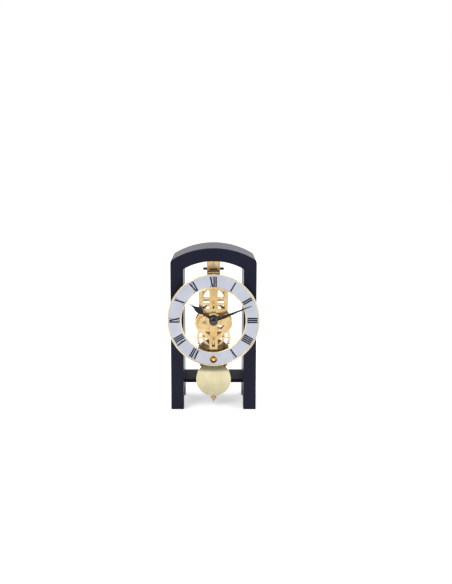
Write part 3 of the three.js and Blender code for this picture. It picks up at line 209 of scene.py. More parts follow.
def new_finish(name, **shader_values):
    """An empty node material: its tree, its shader and where the piece lies."""
    finish = bpy.data.materials.new(name)
    finish.use_nodes = True
    tree = finish.node_tree
    shader = tree.nodes["Principled BSDF"]
    for key, value in shader_values.items():
        shader.inputs[key.replace("_", " ")].default_value = value
    place = add(tree, "ShaderNodeTexCoord").outputs["Object"]
    return finish, tree, shader, place


def two_tones(tree, shader, place, first, second, scale):
    """Slow drift between two tones of one colour."""
    drift = add(tree, "ShaderNodeTexNoise", {"Vector": place, "Scale": scale, "Detail": 3.0})
    ramp = add(tree, "ShaderNodeValToRGB", {"Fac": drift.outputs["Fac"]})
    ramp.color_ramp.elements[0].position = 0.35
    ramp.color_ramp.elements[1].position = 0.65
    ramp.color_ramp.elements[0].color = first
    ramp.color_ramp.elements[1].color = second
    tree.links.new(ramp.outputs["Color"], shader.inputs["Base Color"])


def gloss(tree, shader, pattern, low, high):
    """Roughness that follows a pattern."""
    spread = add(tree, "ShaderNodeMapRange", {"Value": pattern, "From Min": 0.3, "From Max": 0.7})
    spread.inputs["To Min"].default_value = low
    spread.inputs["To Max"].default_value = high
    tree.links.new(spread.outputs["Result"], shader.inputs["Roughness"])


def relief(tree, shader, pattern, depth, below=None):
    """Fine bump, depth in metres, over another bump where there is one."""
    bump = add(tree, "ShaderNodeBump", {"Height": pattern, "Strength": 1.0, "Distance": depth})
    if below:
        tree.links.new(below, bump.inputs["Normal"])
    tree.links.new(bump.outputs["Normal"], shader.inputs["Normal"])
    return bump.outputs["Normal"]


def lacquered_wood(name, first, second, low, high):
    """Satin lacquer: sprayed skin over a trace of upright grain."""
    finish, tree, shader, place = new_finish(name, IOR=1.25)
    two_tones(tree, shader, place, first, second, scale=24.0)
    along = add(tree, "ShaderNodeMapping", {"Vector": place, "Scale": (1.0, 1.0, 0.06)})
    grain = add(
        tree,
        "ShaderNodeTexNoise",
        {"Vector": along.outputs["Vector"], "Scale": 520.0, "Detail": 4.0},
    )
    skin = add(tree, "ShaderNodeTexNoise", {"Vector": place, "Scale": 900.0, "Detail": 2.0})
    gloss(tree, shader, skin.outputs["Fac"], low, high)
    under = relief(tree, shader, grain.outputs["Fac"], depth=0.00002)
    relief(tree, shader, skin.outputs["Fac"], depth=0.000015, below=under)
    return finish


NAVY_DEEP = shade(19, 21, 40)
NAVY_LIGHT = shade(23, 25, 45)
NOTCH_REACH = 90.0
navy = lacquered_wood("navy_lacquer", NAVY_DEEP, NAVY_LIGHT, low=0.28, high=0.38)
case = prism("case", portal_outline(), CASE_FRONT, CASE_REAR)
cut_away(case, prism("notch", notch_outline(), -NOTCH_REACH, NOTCH_REACH, across="X"))
ease(case, CASE_EDGE)

# Shelf: a thin board with a matt coat, let into both sides, which ties the legs
# together and closes the case under the movement.
SHELF_HALF = 50.0
SHELF_FRONT = -1.75
SHELF_REAR = 64.25
SHELF_UNDER = 36.5
SHELF_TOP = 41.9
HOUSING_ROOM = 0.1
SHELF_EDGE = 0.7


def board(name, room):
    low, high = SHELF_UNDER - room, SHELF_TOP + room
    side = [
        (SHELF_FRONT - room, low),
        (SHELF_REAR + room, low),
        (SHELF_REAR + room, high),
        (SHELF_FRONT - room, high),
    ]
    return prism(name, side, -SHELF_HALF - room, SHELF_HALF + room, across="X")


cut_away(case, board("housing", HOUSING_ROOM))
finished(smooth(case), navy, "base", "navy_lacquer", "case_frame")
matt_navy = lacquered_wood("navy_lacquer_matt", NAVY_DEEP, NAVY_LIGHT, low=0.6, high=0.7)
shelf = board("shelf_board", 0.0)
ease(shelf, SHELF_EDGE)
finished(smooth(shelf), matt_navy, "base", "navy_lacquer", "shelf")


# Bracket: a sawn brass block with a foot screwed under the arch. It carries the
# movement in front, the pendulum in its slot, and a dark steel bar across. Its
# brass is painted paler than the plates: painted light for the shade it stands in.
def brushed_metal(name, first, second, strokes, low, high, depth=0.000002):
    """Metal with straight grain; strokes scale the pattern along X, Y and Z."""
    finish, tree, shader, place = new_finish(name, Metallic=1.0)
    two_tones(tree, shader, place, first, second, scale=70.0)
    drawn = add(tree, "ShaderNodeMapping", {"Vector": place, "Scale": strokes})
    grain = add(
        tree,
        "ShaderNodeTexNoise",
        {"Vector": drawn.outputs["Vector"], "Scale": 1.0, "Detail": 3.0},
    )
    gloss(tree, shader, grain.outputs["Fac"], low, high)
    relief(tree, shader, grain.outputs["Fac"], depth)
    return finish


BRASS_LIGHT = shade(207, 183, 138)
BRASS_DEEP = shade(190, 159, 106)
STEEL_LIGHT = shade(176, 178, 182)
STEEL_DEEP = shade(150, 152, 157)
# Paler brass tones for the bracket: painted light against the shade behind the dial.
SAWN_PAINTED_LIGHT_PALE = shade(242, 208, 155)
SAWN_PAINTED_LIGHT_DEEP = shade(232, 192, 132)
BAR_LIGHT = shade(112, 106, 102)
BAR_DEEP = shade(94, 88, 85)
UPRIGHT_GRAIN = (2600.0, 900.0, 130.0)
TURNED_GRAIN = (900.0, 2400.0, 900.0)
BAR_GRAIN = (300.0, 2400.0, 2400.0)
brass = brushed_metal("brass", BRASS_LIGHT, BRASS_DEEP, UPRIGHT_GRAIN, low=0.2, high=0.32)
sawn_brass_painted_light = brushed_metal("brass_sawn_painted_light", SAWN_PAINTED_LIGHT_PALE, SAWN_PAINTED_LIGHT_DEEP, UPRIGHT_GRAIN, low=0.3, high=0.42)
steel = brushed_metal("steel", STEEL_LIGHT, STEEL_DEEP, TURNED_GRAIN, low=0.2, high=0.34)
dark_steel = brushed_metal("dark_steel", BAR_LIGHT, BAR_DEEP, BAR_GRAIN, low=0.28, high=0.42)


def dressed(node, finish, slot, edge=0.0, angle=35):
    """A fair copy of a solid: corners joined, sharp edges broken."""
    source = frame["nodes"][node]
    bm = bmesh.new()
    bm.from_mesh(source.data)
    bmesh.ops.remove_doubles(bm, verts=bm.verts, dist=0.002 * MM)
    spots = [v.co.copy() for v in bm.verts]
    bm.verts.index_update()
    faces = [[v.index for v in f.verts] for f in bm.faces]
    bm.free()
    mesh = bpy.data.meshes.new(node)
    mesh.from_pydata(spots, [], faces)
    piece = linked(f"{node}_piece", mesh)
    if edge:
        ease(piece, edge, segments=2, angle=angle)
    return finished(smooth(piece, angle), finish, source["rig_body"], slot, node)


dressed("hanger_bracket", sawn_brass_painted_light, "brass", edge=0.35)
dressed("cross_bar", dark_steel, "dark_steel", edge=0.3, angle=40)
dressed("suspension_pin", steel, "steel", edge=0.15, angle=40)


# Screws: slotted cheese heads turned from steel. They hold the bracket
# to the arch and to the back plate.
def sized_tree(name, sizes):
    """A geometry tree that grows pieces on places, with named sizes and a finish."""
    tree = bpy.data.node_groups.new(name, "GeometryNodeTree")
    face = tree.interface
    face.new_socket("Places", in_out="INPUT", socket_type="NodeSocketGeometry")
    for size in sizes:
        face.new_socket(size, in_out="INPUT", socket_type="NodeSocketFloat")
    face.new_socket("Finish", in_out="INPUT", socket_type="NodeSocketMaterial")
    face.new_socket("Pieces", in_out="OUTPUT", socket_type="NodeSocketGeometry")
    return tree, add(tree, "NodeGroupInput").outputs


def set_out(tree, given, piece, scaled=False):
    """Stands a piece on every place, turned as the place says, and ends the tree."""
    turn = add(tree, "GeometryNodeInputNamedAttribute", {"Name": "turn"}, data_type="FLOAT_VECTOR")
    facing = add(tree, "FunctionNodeEulerToRotation", {"Euler": turn.outputs["Attribute"]})
    stand = {"Points": given["Places"], "Instance": piece, "Rotation": facing.outputs[0]}
    if scaled:
        size = add(tree, "GeometryNodeInputNamedAttribute", {"Name": "size"}, data_type="FLOAT_VECTOR")
        stand["Scale"] = size.outputs["Attribute"]
    placed = add(tree, "GeometryNodeInstanceOnPoints", stand)
    real = add(tree, "GeometryNodeRealizeInstances", {"Geometry": placed.outputs[0]})
    painted = add(
        tree,
        "GeometryNodeSetMaterial",
        {"Geometry": real.outputs[0], "Material": given["Finish"]},
    )
    add(tree, "NodeGroupOutput", {"Pieces": painted.outputs[0]})


def grown(name, tree, places, values):
    """Runs a tree over places, each a spot, a turn and a size, and keeps a plain mesh."""
    mesh = bpy.data.meshes.new(name)
    mesh.from_pydata([Vector(spot) * MM for spot, _, _ in places], [], [])
    for key, column in (("turn", 1), ("size", 2)):
        layer = mesh.attributes.new(key, "FLOAT_VECTOR", "POINT")
        for i, place in enumerate(places):
            layer.data[i].vector = place[column]
    piece = linked(name, mesh)
    growth = piece.modifiers.new("growth", "NODES")
    growth.node_group = tree
    for socket in tree.interface.items_tree:
        if socket.in_out == "INPUT" and socket.name in values:
            growth[socket.identifier] = values[socket.name]
    return set_in(piece)


HEAD_TAPER = 0.86


def screw_tree():
    sizes = ["Head radius", "Head height", "Slot width", "Slot depth"]
    tree, given = sized_tree("slotted_screws", sizes)
    crown = add(tree, "ShaderNodeMath", {0: given["Head radius"], 1: HEAD_TAPER}, operation="MULTIPLY")
    head = add(
        tree,
        "GeometryNodeMeshCone",
        {
            "Vertices": 40,
            "Radius Bottom": given["Head radius"],
            "Radius Top": crown.outputs[0],
            "Depth": given["Head height"],
        },
    )
    length = add(tree, "ShaderNodeMath", {0: given["Head radius"], 1: 3.0}, operation="MULTIPLY")
    deep = add(tree, "ShaderNodeMath", {0: given["Slot depth"], 1: 2.0}, operation="MULTIPLY")
    size = add(
        tree,
        "ShaderNodeCombineXYZ",
        {"X": length.outputs[0], "Y": given["Slot width"], "Z": deep.outputs[0]},
    )
    rise = add(tree, "ShaderNodeCombineXYZ", {"Z": given["Head height"]})
    blade = add(tree, "GeometryNodeMeshCube", {"Size": size.outputs[0]})
    raised = add(
        tree,
        "GeometryNodeTransform",
        {"Geometry": blade.outputs["Mesh"], "Translation": rise.outputs[0]},
    )
    slotted = add(
        tree,
        "GeometryNodeMeshBoolean",
        {"Mesh 1": head.outputs["Mesh"], "Mesh 2": raised.outputs[0]},
        operation="DIFFERENCE",
    )
    set_out(tree, given, slotted.outputs["Mesh"])
    return tree


FRONTWARD = math.pi / 2
REARWARD = -math.pi / 2
DOWNWARD = math.pi
WHOLE = (1.0, 1.0, 1.0)
screws = screw_tree()
BRACKET_FRONT = -19.25
BRACKET_REAR = -0.75
FOOT_UNDER = 232.5
FRONT_SCREW_Z = 229.0
REAR_SCREW = (5.6, 213.0)
FOOT_SCREW = (4.6, 9.0)
screw_sizes = {
    "Head radius": 2.7 * MM,
    "Head height": 1.6 * MM,
    "Slot width": 0.6 * MM,
    "Slot depth": 0.7 * MM,
    "Finish": steel,
}
bracket_screws = grown(
    "bracket_screws",
    screws,
    [
        ((0.0, BRACKET_FRONT, FRONT_SCREW_Z), (FRONTWARD, 0.5, 0.0), WHOLE),
        ((-FOOT_SCREW[0], FOOT_SCREW[1], FOOT_UNDER), (DOWNWARD, 0.0, 0.7), WHOLE),
        ((FOOT_SCREW[0], FOOT_SCREW[1], FOOT_UNDER), (DOWNWARD, 0.0, 2.1), WHOLE),
        ((-REAR_SCREW[0], BRACKET_REAR, REAR_SCREW[1]), (REARWARD, 0.3, 0.0), WHOLE),
        ((REAR_SCREW[0], BRACKET_REAR, REAR_SCREW[1]), (REARWARD, -0.6, 0.0), WHOLE),
    ],
    screw_sizes,
)
finished(smooth(bracket_screws), steel, "base", "steel")

# Plates: two pierced brass plates, straight grained, with sharp edges broken.
# The rear one is screwed to the bracket; both carry the pivots of the train.
DIAL_Z = 149.0
PLATE_FRONT = -49.25
PLATE_REAR = -19.25
dressed("front_plate", brass, "brass", edge=0.35)
dressed("back_plate", brass, "brass", edge=0.35)


# Bushings: turned brass rings pressed into the plates, one round each pivot,
# with a small dish that holds oil.
def bushing_tree():
    tree, given = sized_tree("bushings", ["Bore radius", "Rim radius", "Height"])
    path = add(tree, "GeometryNodeCurvePrimitiveCircle", {"Resolution": 48})
    bore, rim = given["Bore radius"], given["Rim radius"]
    middle = add(tree, "ShaderNodeMath", {0: bore, 1: rim}, operation="ADD")
    centre = add(tree, "ShaderNodeMath", {0: middle.outputs[0], 1: 0.5}, operation="MULTIPLY")
    tree.links.new(centre.outputs[0], path.inputs["Radius"])
    gap = add(tree, "ShaderNodeMath", {0: rim, 1: bore}, operation="SUBTRACT")
    section = add(
        tree,
        "GeometryNodeCurvePrimitiveQuadrilateral",
        {"Width": gap.outputs[0], "Height": given["Height"]},
    )
    rounded = add(tree, "GeometryNodeFilletCurve", {"Curve": section.outputs[0]}, mode="POLY")
    limit = add(tree, "ShaderNodeMath", {0: given["Height"], 1: 0.3}, operation="MULTIPLY")
    tree.links.new(limit.outputs[0], rounded.inputs["Radius"])
    rounded.inputs["Count"].default_value = 3
    swept = add(
        tree,
        "GeometryNodeCurveToMesh",
        {"Curve": path.outputs[0], "Profile Curve": rounded.outputs[0]},
    )
    set_out(tree, given, swept.outputs["Mesh"])
    return tree


BARREL_Z = 87.8
INTERMEDIATE_Z = 119.01
THIRD_Z = 175.0
ESCAPE_Z = 198.4
ANCHOR_Z = 217.39
BUSH_PROUD = 0.05
FRONT_PIVOTS = [INTERMEDIATE_Z, THIRD_Z, ESCAPE_Z, ANCHOR_Z]
REAR_PIVOTS = [BARREL_Z, DIAL_Z, INTERMEDIATE_Z, THIRD_Z, ESCAPE_Z]
bush_spots = [(0.0, PLATE_FRONT - BUSH_PROUD, z) for z in FRONT_PIVOTS]
bush_spots += [(0.0, PLATE_REAR + BUSH_PROUD, z) for z in REAR_PIVOTS]
bushings = grown(
    "bushings",
    bushing_tree(),
    [(spot, (FRONTWARD, 0.0, 0.0), WHOLE) for spot in bush_spots],
    {"Bore radius": 1.75 * MM, "Rim radius": 3.1 * MM, "Height": 0.7 * MM, "Finish": brass},
)
finished(smooth(bushings), brass, "base", "brass")


# Pillars, dial feet and nuts: turned brass posts between the plates, a foot
# screwed on the front end of each for the dial, a hexagon nut behind.
def softened(section, edge):
    """Breaks the corners of a turning section by a small chamfer."""
    kept = [section[0]]
    for before, spot, after in zip(section, section[1:], section[2:]):
        for other in (before, after):
            run = math.dist(spot, other)
            share = min(edge, run / 3) / run
            kept.append(tuple(s + (o - s) * share for s, o in zip(spot, other)))
    return kept + [section[-1]]


def turned(name, section, places, upright=False, sides=56, ring=False):
    """Turns a section of (radius, distance along the axis) round Y, or Z if upright."""
    bm = bmesh.new()
    for place in places:
        rows = []
        for radius, along in section:
            count = sides if radius > 1e-6 else 1
            row = []
            for i in range(count):
                angle = 2 * math.pi * i / sides
                a, b = radius * math.sin(angle), radius * math.cos(angle)
                spot = Vector((a, b, along)) if upright else Vector((a, along, b))
                row.append(bm.verts.new((spot + Vector(place)) * MM))
            rows.append(row)
        pairs = list(zip(rows, rows[1:]))
        if ring:
            pairs.append((rows[-1], rows[0]))
        for one, two in pairs:
            for i in range(sides):
                if len(one) > 1 and len(two) > 1:
                    corners = [one[i - 1], one[i], two[i], two[i - 1]]
                else:
                    fan, tip = (one, two[0]) if len(one) > 1 else (two, one[0])
                    corners = [fan[i - 1], fan[i], tip]
                bm.faces.new(corners)
    bmesh.ops.recalc_face_normals(bm, faces=bm.faces)
    mesh = bpy.data.meshes.new(name)
    bm.to_mesh(mesh)
    bm.free()
    return smooth(linked(name, mesh))


UPPER_PILLAR = (17.5, 205.0)
LOWER_PILLAR = (34.97, 98.78)
PILLAR_SPOTS = [(side * x, 0.0, z) for x, z in (UPPER_PILLAR, LOWER_PILLAR) for side in (1, -1)]
PILLAR_FRONT = -52.25
PILLAR_END = -16.05
TENON_RADIUS = 1.8
COLLAR_RADIUS = 3.2
WAIST_RADIUS = 2.4
COLLAR_LENGTH = 4.0
WAIST_START = 6.0
TURNED_EDGE = 0.25
BETWEEN_FRONT = -46.75
BETWEEN_REAR = -21.75
pillar_section = softened(
    [
        (0.0, PILLAR_FRONT),
        (TENON_RADIUS, PILLAR_FRONT),
        (TENON_RADIUS, BETWEEN_FRONT),
        (COLLAR_RADIUS, BETWEEN_FRONT),
        (COLLAR_RADIUS, BETWEEN_FRONT + COLLAR_LENGTH),
        (WAIST_RADIUS, BETWEEN_FRONT + WAIST_START),
        (WAIST_RADIUS, BETWEEN_REAR - WAIST_START),
        (COLLAR_RADIUS, BETWEEN_REAR - COLLAR_LENGTH),
        (COLLAR_RADIUS, BETWEEN_REAR),
        (TENON_RADIUS, BETWEEN_REAR),
        (TENON_RADIUS, PILLAR_END),
        (0.0, PILLAR_END),
    ],
    TURNED_EDGE,
)
pillars = turned("pillars", pillar_section, PILLAR_SPOTS, sides=40)
FOUR = range(1, 5)
finished(pillars, brass, "base", "brass", *[f"pillar_{i}" for i in FOUR])
DIAL_REAR = -56.55
FOOT_RADIUS = 2.9
FOOT_BORE = 2.0
FOOT_BORE_END = PLATE_FRONT - 3.3
foot_section = softened(
    [
        (0.0, DIAL_REAR),
        (FOOT_RADIUS, DIAL_REAR),
        (FOOT_RADIUS, PLATE_FRONT),
        (FOOT_BORE, PLATE_FRONT),
        (FOOT_BORE, FOOT_BORE_END),
        (0.0, FOOT_BORE_END),
    ],
    TURNED_EDGE,
)
feet = turned("dial_feet", foot_section, PILLAR_SPOTS, sides=40)
finished(feet, brass, "base", "brass", *[f"dial_foot_{i}" for i in FOUR])
for i in FOUR:
    dressed(f"pillar_nut_{i}", brass, "brass", edge=0.3)


# Barrel: a turned drum and cap behind the great wheel, with the mainspring
# coiled inside. Its faces are spun in the lathe, which leaves fine rings.
def lathe_rings(tree, place, x, z, scale, detail):
    """A pattern of fine rings round an axis that stands at x and z, in millimetres."""
    centred = add(tree, "ShaderNodeMapping", {"Vector": place, "Location": (-x * MM, 0.0, -z * MM)})
    level = add(
        tree,
        "ShaderNodeVectorMath",
        {0: centred.outputs["Vector"], 1: (1.0, 0.0, 1.0)},
        operation="MULTIPLY",
    )
    reach = add(tree, "ShaderNodeVectorMath", {0: level.outputs["Vector"]}, operation="LENGTH")
    rings = add(
        tree,
        "ShaderNodeTexNoise",
        {"W": reach.outputs["Value"], "Scale": scale, "Detail": detail},
        noise_dimensions="1D",
    )
    return rings.outputs["Fac"]


def spun_metal(name, first, second, x, z, low, high, depth=0.000002):
    """Metal turned in the lathe round an axis at x and z, in millimetres."""
    finish, tree, shader, place = new_finish(name, Metallic=1.0)
    two_tones(tree, shader, place, first, second, scale=60.0)
    rings = lathe_rings(tree, place, x, z, scale=3200.0, detail=3.0)
    gloss(tree, shader, rings, low, high)
    relief(tree, shader, rings, depth)
    return finish


DRUM_FRONT = -33.95
DRUM_REAR = -24.75
CAP_REAR = -23.25
spun_barrel = spun_metal("brass_barrel", BRASS_LIGHT, BRASS_DEEP, 0.0, BARREL_Z, low=0.16, high=0.3)
DRUM_RADIUS = 12.04
DRUM_BORE = 10.54
CAP_BORE = 3.25
DISH_OUTER = 7.0
DISH_INNER = 3.5
DISH_DEPTH = 0.4
DRUM_EDGE = 0.2
CAP_EDGE = 0.3
drum_section = softened(
    [
        (DRUM_RADIUS, DRUM_FRONT),
        (DRUM_RADIUS, DRUM_REAR),
        (DRUM_BORE, DRUM_REAR),
        (DRUM_BORE, DRUM_FRONT),
    ],
    DRUM_EDGE,
)
drum = turned("drum", drum_section, [(0.0, 0.0, BARREL_Z)], sides=96, ring=True)
finished(drum, spun_barrel, "barrel", "brass", "barrel_drum")
cap_section = [
    (CAP_BORE, DRUM_REAR),
    (DRUM_RADIUS - DRUM_EDGE, DRUM_REAR),
    (DRUM_RADIUS, DRUM_REAR + DRUM_EDGE),
    (DRUM_RADIUS, CAP_REAR - CAP_EDGE),
    (DRUM_RADIUS - CAP_EDGE, CAP_REAR),
    (DISH_OUTER, CAP_REAR),
    (DISH_OUTER - DISH_DEPTH, CAP_REAR - DISH_DEPTH),
    (DISH_INNER, CAP_REAR - DISH_DEPTH),
    (CAP_BORE, CAP_REAR - DISH_DEPTH - DRUM_EDGE),
]
cap = turned("drum_cap", cap_section, [(0.0, 0.0, BARREL_Z)], sides=96, ring=True)
finished(cap, spun_barrel, "barrel", "brass", "barrel_cap")
dressed("great_wheel", spun_barrel, "brass", edge=0.12)
dressed("mainspring", steel, "steel")

# Winding work: a steel arbor with a square for the key, tempered to straw, a
# saw-toothed ratchet on it in a deeper brown, and a sprung click that holds it.
STRAW_LIGHT = shade(226, 190, 126)
STRAW_DEEP = shade(210, 170, 104)
BROWN_LIGHT = shade(178, 132, 68)
BROWN_DEEP = shade(156, 110, 54)
straw_steel = spun_metal("steel_straw", STRAW_LIGHT, STRAW_DEEP, 0.0, BARREL_Z, low=0.2, high=0.34)
brown_steel = spun_metal("steel_brown", BROWN_LIGHT, BROWN_DEEP, 0.0, BARREL_Z, low=0.2, high=0.34)
dressed("winding_arbor", straw_steel, "steel", edge=0.15)
dressed("ratchet_wheel", brown_steel, "steel", edge=0.1)
dressed("click", steel, "steel", edge=0.12)
dressed("click_screw", steel, "steel", edge=0.12, angle=40)
dressed("click_spring", steel, "steel", edge=0.1)

# Going train: cut brass wheels crossed out with four spokes, each on a steel
# arbor with its pinion, in one upright line between the plates.
TRAIN_WHEELS = {
    "intermediate_gear": INTERMEDIATE_Z,
    "intermediate_wheel": INTERMEDIATE_Z,
    "centre_wheel": DIAL_Z,
    "third_wheel": THIRD_Z,
    "escape_wheel": ESCAPE_Z,
}
for wheel, z in TRAIN_WHEELS.items():
    ringed = spun_metal(f"brass_{wheel}", BRASS_LIGHT, BRASS_DEEP, 0.0, z, low=0.16, high=0.3)
    dressed(wheel, ringed, "brass", edge=0.1)
for arbor in ("intermediate_arbor", "centre_arbor", "third_arbor", "escape_arbor"):
    dressed(arbor, steel, "steel", edge=0.08, angle=40)

# Escapement: a hardened steel anchor over the escape wheel, its arbor, and the
# brass crutch whose two pins hold the pendulum rod between them.
dressed("anchor", steel, "steel", edge=0.12)
dressed("anchor_arbor", steel, "steel", edge=0.08, angle=40)
dressed("crutch", brass, "brass", edge=0.12)

# Motion work: a steel cannon pinion on the centre arbor, and a minute wheel and
# hour wheel of brass in front of the plate, which slow the hour hand.
spun_hour = spun_metal("brass_hour_wheel", BRASS_LIGHT, BRASS_DEEP, 0.0, DIAL_Z, low=0.16, high=0.3)
MINUTE_STUD = (-13.53, 144.07)
spun_minute = spun_metal("brass_minute_wheel", BRASS_LIGHT, BRASS_DEEP, *MINUTE_STUD, low=0.16, high=0.3)
dressed("cannon_pinion", steel, "steel", edge=0.08, angle=40)
dressed("minute_wheel", spun_minute, "brass", edge=0.1)
dressed("minute_stud", steel, "steel", edge=0.08, angle=40)
dressed("hour_wheel", spun_hour, "brass", edge=0.1)


# Dial: a thin silvered ring, spun to a fine matt grain and held by four feet.
# A turned brass hoop closes its outer and inner edge, and a collar the key hole.
def silvered_dial(name, first, second):
    finish, tree, shader, place = new_finish(name, Metallic=0.12, IOR=1.45)
    two_tones(tree, shader, place, first, second, scale=35.0)
    rings = lathe_rings(tree, place, 0.0, DIAL_Z, scale=2400.0, detail=4.0)
    gloss(tree, shader, rings, low=0.38, high=0.5)
    relief(tree, shader, rings, depth=0.000004)
    return finish


DIAL_FRONT = -57.75
DIAL_RADIUS = 71.0
DIAL_OPENING = 49.1
HOOP_WIDTH = 1.6
HOOP_ROUND = 0.5
HOOP_FRONT = DIAL_FRONT - 0.7
COLLAR_FRONT = DIAL_FRONT - 0.4
KEY_HOLE_RADIUS = 5.5
SILVER_LIGHT = shade(199, 203, 215)
SILVER_DEEP = shade(191, 195, 208)
silver = silvered_dial("silvered_dial", SILVER_LIGHT, SILVER_DEEP)


def flat_ring(name, edges, front, rear):
    """A sheet cut to round edges, each an x, a height and a radius in millimetres."""
    drawn = bpy.data.curves.new(name, "CURVE")
    drawn.dimensions = "2D"
    drawn.fill_mode = "BOTH"
    drawn.extrude = (rear - front) / 2 * MM
    for x, z, radius in edges:
        sides = max(48, int(radius * 4))
        spline = drawn.splines.new("POLY")
        spline.points.add(sides - 1)
        spline.use_cyclic_u = True
        for i, point in enumerate(spline.points):
            angle = 2 * math.pi * i / sides
            across, up = radius * math.cos(angle), radius * math.sin(angle)
            point.co = ((x + across) * MM, (z + up) * MM, 0.0, 1.0)
    sketch = linked(name, drawn)
    graph = bpy.context.evaluated_depsgraph_get()
    mesh = bpy.data.meshes.new_from_object(sketch.evaluated_get(graph))
    bpy.data.objects.remove(sketch)
    bm = bmesh.new()
    bm.from_mesh(mesh)
    bmesh.ops.remove_doubles(bm, verts=bm.verts, dist=0.001 * MM)
    for vert in bm.verts:
        x, z, depth = vert.co
        vert.co = (x, (front + rear) / 2 * MM - depth, z)
    bmesh.ops.recalc_face_normals(bm, faces=bm.faces)
    bm.to_mesh(mesh)
    bm.free()
    return linked(name, mesh)


dial_edges = [
    (0.0, DIAL_Z, DIAL_RADIUS - HOOP_WIDTH / 2),
    (0.0, DIAL_Z, DIAL_OPENING + HOOP_WIDTH / 2),
    (0.0, BARREL_Z, KEY_HOLE_RADIUS),
]
dial = flat_ring("dial", dial_edges, DIAL_FRONT, DIAL_REAR)
finished(smooth(dial), silver, "base", "dial_silver", "dial_ring")


def hoop(name, inner, outer, front, rear, z, sides):
    """A turned ring with a rounded face."""
    middle, half = (inner + outer) / 2, (outer - inner) / 2
    turns = [math.pi * i / 8 for i in range(9)]
    face = [(middle - half * math.cos(a), front + HOOP_ROUND * (1 - math.sin(a))) for a in turns]
    return turned(name, [*face, (outer, rear), (inner, rear)], [(0.0, 0.0, z)], sides=sides, ring=True)


HOOP_LIGHT = shade(230, 210, 160)
HOOP_DEEP = shade(222, 200, 148)
hoop_brass = spun_metal("brass_hoops", HOOP_LIGHT, HOOP_DEEP, 0.0, DIAL_Z, low=0.14, high=0.24)
outer_inside = DIAL_RADIUS - HOOP_WIDTH
inner_outside = DIAL_OPENING + HOOP_WIDTH
outer_hoop = hoop("outer_hoop", outer_inside, DIAL_RADIUS, HOOP_FRONT, DIAL_REAR, DIAL_Z, sides=256)
inner_hoop = hoop("inner_hoop", DIAL_OPENING, inner_outside, HOOP_FRONT, DIAL_REAR, DIAL_Z, sides=192)
COLLAR_INSIDE = KEY_HOLE_RADIUS - 0.3
COLLAR_OUTSIDE = KEY_HOLE_RADIUS + 0.4
key_collar = hoop("key_collar", COLLAR_INSIDE, COLLAR_OUTSIDE, COLLAR_FRONT, DIAL_REAR, BARREL_Z, sides=64)
for rim in (outer_hoop, inner_hoop):
    finished(rim, hoop_brass, "base", "brass")
finished(key_collar, brass, "base", "brass")


# Hour figures: printed on the dial in dark blue-black ink, feet towards the
# middle, with thick and thin strokes. The key hole stands in place of the six.
def satin_paint(name, first, second, low, high, ior=1.3):
    finish, tree, shader, place = new_finish(name, IOR=ior)
    two_tones(tree, shader, place, first, second, scale=180.0)
    skin = add(tree, "ShaderNodeTexNoise", {"Vector": place, "Scale": 1800.0, "Detail": 2.0})
    gloss(tree, shader, skin.outputs["Fac"], low, high)
    relief(tree, shader, skin.outputs["Fac"], depth=0.000006)
    return finish


FIGURE_FOOT = 52.0
FIGURE_HEIGHT = 15.2
THICK = 2.3
THIN = 0.5
SERIF = 0.45
SERIF_REACH = 1.25
STEP = 3.0
SLANT = 1.75
INK_HEIGHT = 0.08
SIGNS = ("I", "II", "III", "IIII", "V", "", "VII", "VIII", "IX", "X", "XI", "XII")
HOUR_ANGLE = math.radians(30)
SIGN_WIDTH = {"I": STEP, "V": STEP + SLANT, "X": STEP + SLANT}


def sign_strokes(sign, x):
    """Strokes of one sign: start, end and width, across and up from the foot line."""
    top = FIGURE_HEIGHT
    if sign == "I":
        long = [((x, 0.0), (x, top), THICK)]
        ends = [(x, 0.0), (x, top)]
    elif sign == "V":
        long = [((x, 0.0), (x - SLANT, top), THICK), ((x, 0.0), (x + SLANT, top), THIN)]
        ends = [(x - SLANT, top), (x + SLANT, top)]
    else:
        thick = ((x + SLANT, 0.0), (x - SLANT, top), THICK)
        thin = ((x - SLANT, 0.0), (x + SLANT, top), THIN)
        long = [thick, thin]
        ends = [(x - SLANT, 0.0), (x + SLANT, 0.0), (x - SLANT, top), (x + SLANT, top)]
    short = [((ex - SERIF_REACH, ez), (ex + SERIF_REACH, ez), SERIF) for ex, ez in ends]
    return long + short


def figure_places():
    places = []
    for hour, signs in enumerate(SIGNS, start=1):
        angle = HOUR_ANGLE * hour
        x = -sum(SIGN_WIDTH[s] for s in signs) / 2
        for sign in signs:
            for start, end, width in sign_strokes(sign, x + SIGN_WIDTH[sign] / 2):
                across = (start[0] + end[0]) / 2
                up = FIGURE_FOOT + (start[1] + end[1]) / 2
                lean = math.atan2(end[0] - start[0], end[1] - start[1])
                spot = (
                    up * math.sin(angle) + across * math.cos(angle),
                    DIAL_FRONT,
                    DIAL_Z + up * math.cos(angle) - across * math.sin(angle),
                )
                size = (width * MM, 2 * INK_HEIGHT * MM, math.dist(start, end) * MM)
                places.append((spot, (0.0, angle + lean, 0.0), size))
            x += SIGN_WIDTH[sign]
    return places


def stroke_tree():
    tree, given = sized_tree("ink_strokes", [])
    bar = add(tree, "GeometryNodeMeshCube", {"Size": WHOLE})
    set_out(tree, given, bar.outputs["Mesh"], scaled=True)
    return tree


INK_LIGHT = shade(22, 22, 42)
INK_DEEP = shade(17, 17, 34)
ink = satin_paint("figure_ink", INK_LIGHT, INK_DEEP, low=0.5, high=0.62)
figures = grown("hour_figures", stroke_tree(), figure_places(), {"Finish": ink})
finished(figures, ink, "base", "hand_black")

